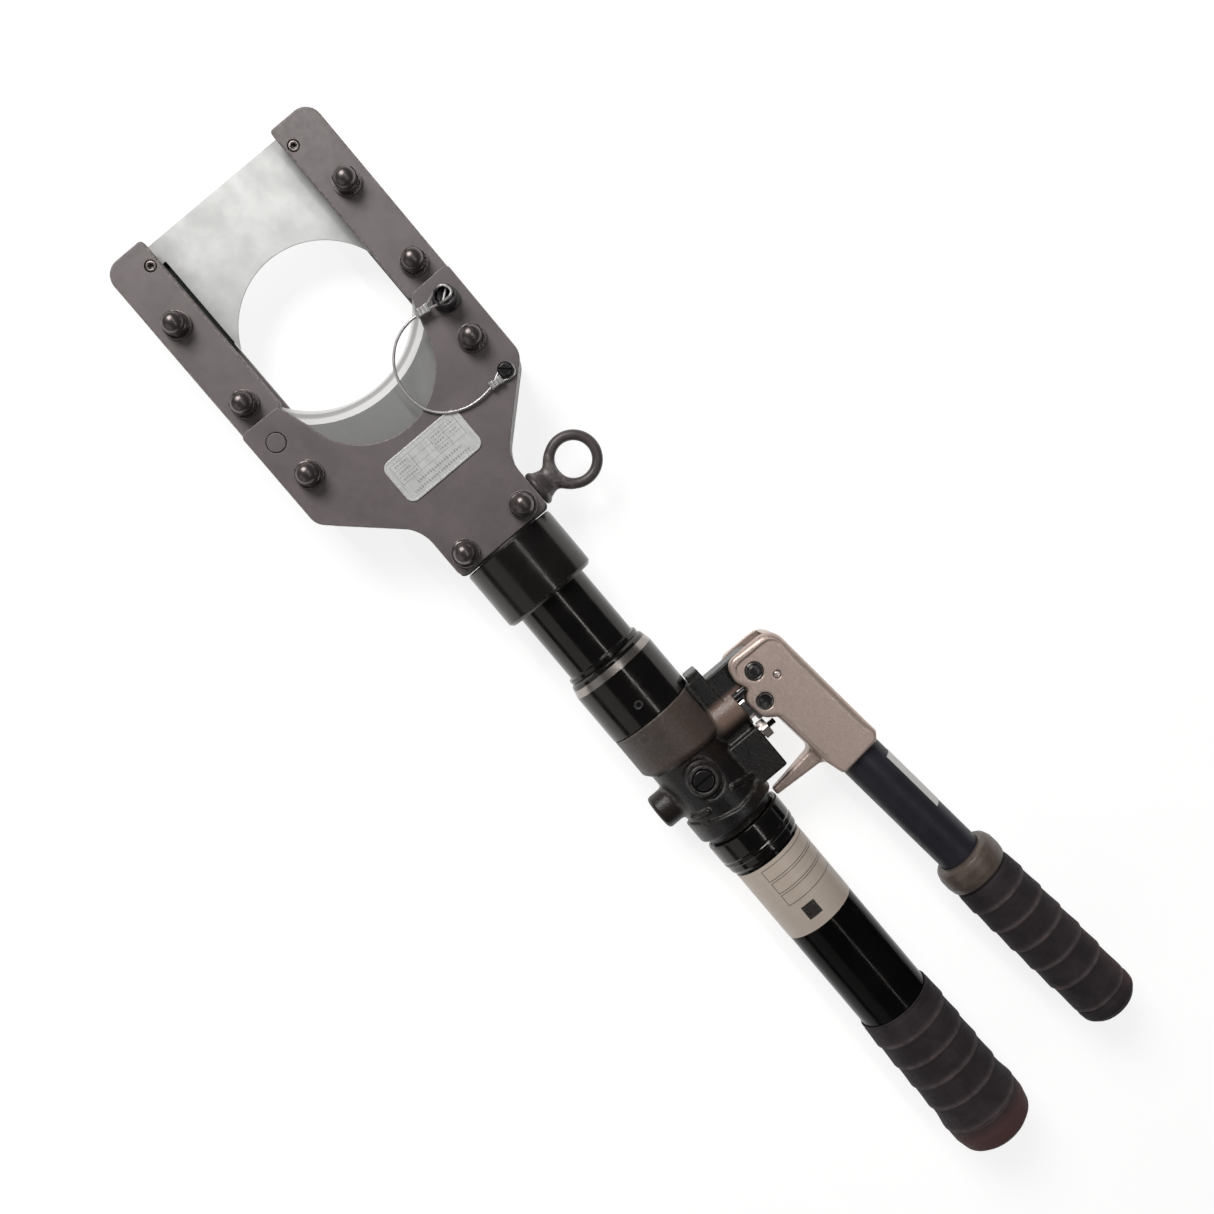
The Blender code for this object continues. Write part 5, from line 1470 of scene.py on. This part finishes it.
def paper_strip():
    """Vertices and faces of a thin curved strip on the lever tube's outer side."""
    n, m = 40, 26    # points along, around
    verts = [TUBE_ZERO + ALONG * u + ACROSS * (r * math.sin(a))
             + np.array((0, 0, 1)) * r * math.cos(a)
             for r in (12.84, 13.02) for u in np.linspace(2.6, 41.9, n)
             for a in np.linspace(math.radians(45), math.radians(112), m)]
    skin = n * m
    starts = [layer + i * m + j for layer in (0, skin) for i in range(n - 1) for j in range(m - 1)]
    faces = [(a, a + 1, a + m + 1, a + m) for a in starts]
    faces += [(a, a + m, a + m + skin, a + skin)
              for i in range(n - 1) for a in (i * m, i * m + m - 1)]
    faces += [(a, a + 1, a + 1 + skin, a + skin)
              for j in range(m - 1) for a in (j, (n - 1) * m + j)]
    return verts, faces


make("lever_strip", *paper_strip(), PAPER, "lever", angle=40, weighted=False, replaces=False)


def plate_corners(rim):
    """The name plate's rounded outline, drawn in by `rim`."""
    x0, x1, y, r = 77.0 + rim, 102.3 - rim, 24.7 - rim, 4.8 - rim
    return rounded([(x0, -y, r), (x1, -y, r), (x1, y, r), (x0, y, r)], 12)


name_plate = plate("name_plate", plate_corners(rim=0.0), 20.45, 21.15, NAME_PLATE, top=0.25,
                   bottom=0.05, steps=3)
boolean(name_plate, plate("sunk", plate_corners(rim=1.0), 21.0, 22.0, top=0.1, bottom=0.12,
                          steps=3))
finish(name_plate, "head", replaces=False)

# =============================================================== wire lanyard
LATCH_END, ANCHOR_END = (30.4, 39.8, 24.3), (82.4, 46.4, 22.6)
RUN = [LATCH_END, (30.2, 35.6, 24.0), (31.4, 28.5, 23.3), (35.3, 21.0, 22.6), (42.5, 14.4, 22.1),
       (51.2, 11.0, 21.9), (60.0, 10.4, 21.9), (69.0, 12.6, 21.9), (76.6, 18.9, 21.9),
       (81.6, 28.2, 21.9), (83.1, 37.5, 22.2), ANCHOR_END]
LATCH_LOOP = [(29.8, 46.6, 25.3), (28.9, 51.0, 27.4), (28.1, 55.6, 31.8), (28.2, 58.2, 33.9),
              (29.6, 60.4, 34.3), (32.2, 61.5, 34.3), (34.4, 60.9, 34.4), (35.5, 58.6, 34.3),
              (34.9, 54.6, 31.9), (33.3, 50.8, 28.0), (31.6, 46.6, 25.3)]
ANCHOR_LOOP = [(81.4, 48.4, 23.0), (79.0, 53.2, 22.2), (77.3, 56.5, 21.6), (77.5, 60.0, 21.5),
               (80.5, 61.8, 21.5), (84.0, 60.6, 21.5), (84.8, 57.5, 21.6), (83.8, 53.4, 22.2),
               (82.6, 48.4, 23.0)]

wire = make("lanyard_wire", *swept(curve(RUN, 16), 0.78, 14, lay=0.12), WIRE, angle=60)
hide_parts("lanyard_wire")
world(ANCHOR_END)
world(LATCH_END)
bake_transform(wire)

for name, rod_mesh, body in (
        ("lanyard_loop", swept(curve(LATCH_LOOP, 12), 0.72, 12, lay=0.1), "latch"),
        ("lanyard_cross_bar", swept([CROSS_B, CROSS_MID, CROSS_A], 0.75, 16), "latch"),
        ("lanyard_anchor_loop", swept(curve(ANCHOR_LOOP, 12), 0.65, 12, lay=0.1), "head")):
    make(name, *rod_mesh, WIRE, body, angle=60, weighted=False, replaces=False)


def ferrule(name, body, at, turn, length, width, depth):
    """Rounded-square sleeve with a proud band at each end and a crimp across its middle."""
    def field(points):
        x, y, z = points[:, 0], points[:, 1], points[:, 2]
        sides = both(np.abs(x) - width / 2, np.abs(z) - depth / 2, 0.9)
        bands = 0.28 * np.exp(-((np.abs(y) - length / 2 + 0.55) / 0.5) ** 2)
        crimp = 0.30 * np.exp(-(y / (length * 0.16)) ** 4)
        return both(sides + 0.28 - bands + crimp, np.abs(y) - length / 2, 0.3) * 0.85

    low = (-width / 2 - 1, -length / 2 - 1, -depth / 2 - 1)
    high = (width / 2 + 1, length / 2 + 1, depth / 2 + 1)
    moulded(name, field, low, high, 0.22, FERRULE, body, at, turn, replaces=False)


ferrule("lanyard_ferrule_latch", "latch", (30.5, 44.2, 25.0), turn=-9.0, length=7.4, width=5.4,
        depth=3.6)
ferrule("lanyard_ferrule_anchor", "head", (82.2, 49.6, 23.0), turn=-5.0, length=7.6, width=4.9,
        depth=3.2)

# =============================================================== CAD nodes kept inside the tool
for node, material in (("ram_return_spring", SPRING), ("ram_seal", RUBBER_AND_SLOT_SHADE),
                       ("reservoir_bladder", RUBBER_AND_SLOT_SHADE)):
    obj = frame["nodes"][node]
    obj.data.materials.clear()
    obj.data.materials.append(material)
    for material_slot in obj.material_slots:
        material_slot.material = material


# =============================================================== stage, light, camera
def floor_material():
    """Pale paper that glows, less so to diffuse rays."""
    look = Look("floor_paper")
    cloud = look.patches(scale=6.0, over=(0.3, 0.7))
    look.surface(look.mix(cloud, (0.34, 0.34, 0.34), (0.36, 0.36, 0.36)), rough=0.9, specular=0.1)
    look.put("Emission Color", (1, 1, 1))
    diffuse_ray = look.node("LightPath").outputs["Is Diffuse Ray"]
    look.put("Emission Strength", look.fit(diffuse_ray, over=(0.0, 1.0), to=(0.82, 0.5)))
    return look.material


FLOOR_Z, FLOOR_HALF = CAD_LO.z - 0.0003, 6
mesh = bpy.data.meshes.new("floor")
mesh.from_pydata([(x * FLOOR_HALF, y * FLOOR_HALF, FLOOR_Z)
                  for x, y in ((-1, -1), (1, -1), (1, 1), (-1, 1))], [], [(0, 1, 2, 3)])
floor = bpy.data.objects.new("floor", mesh)
floor.data.materials.append(floor_material())
bpy.context.scene.collection.objects.link(floor)

CENTRE = Vector((-0.33, 0.01, 0.0))    # metres; the lights point here


def light(name, offset, size, energy, colour=(1, 1, 1), size_y=None):
    """An area light aimed at CENTRE: square, or with size_y a rectangle, its length along X."""
    data = bpy.data.lights.new(name, "AREA")
    data.shape = "RECTANGLE" if size_y else "SQUARE"
    data.size = size
    data.energy = energy
    data.color = colour
    obj = bpy.data.objects.new(name, data)
    back = Vector(offset).normalized()
    if size_y:
        data.size_y = size_y
        x = Vector((1, 0, 0)) - back * Vector((1, 0, 0)).dot(back)
        x.normalize()
        obj.matrix_world = Matrix((x, back.cross(x), back)).transposed().to_4x4()
    else:
        obj.rotation_mode = "QUATERNION"
        obj.rotation_quaternion = (-back).to_track_quat("-Z", "Y")
    obj.location = CENTRE + Vector(offset)
    bpy.context.scene.collection.objects.link(obj)


light("key", offset=(-1.3, 0.12, 1.25), size=0.8, energy=22.0, colour=(1.0, 0.985, 0.97))
light("strip", offset=(0.1, 0.37, 1.25), size=1.6, energy=2.2, size_y=0.03)
light("low", offset=(0.1, -1.2, 0.75), size=1.6, energy=2.2, size_y=0.9)

# The world looks bright to the camera but hardly lights the tool.
studio = bpy.data.worlds.new("studio")
studio.use_nodes = True
nodes, links = studio.node_tree.nodes, studio.node_tree.links
background = nodes["Background"]
background.inputs["Color"].default_value = (1.0, 0.99, 0.985, 1)
glow = nodes.new("ShaderNodeMapRange")
glow.inputs["To Min"].default_value = 0.05
glow.inputs["To Max"].default_value = 0.86
links.new(nodes.new("ShaderNodeLightPath").outputs["Is Camera Ray"], glow.inputs[0])
links.new(glow.outputs[0], background.inputs["Strength"])
bpy.context.scene.world = studio
bpy.context.scene.view_settings.view_transform = "Standard"
bpy.context.scene.view_settings.look = "None"

CAMERA_AT = (163.581, 18.659, 676.430)
TILT = math.radians(3.9)                 # about Y
ROLL_COS, ROLL_SIN = 0.64405, 0.76503    # turn about the view axis

camera_data = bpy.data.cameras.new("camera")
camera_data.sensor_width = 36.0
camera_data.lens = 37.068
camera_data.clip_start = 0.01
camera_data.clip_end = 50
camera = bpy.data.objects.new("camera", camera_data)
level = Vector((math.cos(TILT), 0, math.sin(TILT)))
across = Vector((0, 1, 0))
back = Vector((-math.sin(TILT), 0, math.cos(TILT)))
right = level * ROLL_COS + across * ROLL_SIN
up = level * -ROLL_SIN + across * ROLL_COS
camera.matrix_world = Matrix((right, up, back)).transposed().to_4x4()
camera.location = world(CAMERA_AT)
bpy.context.scene.collection.objects.link(camera)
bpy.context.scene.camera = camera
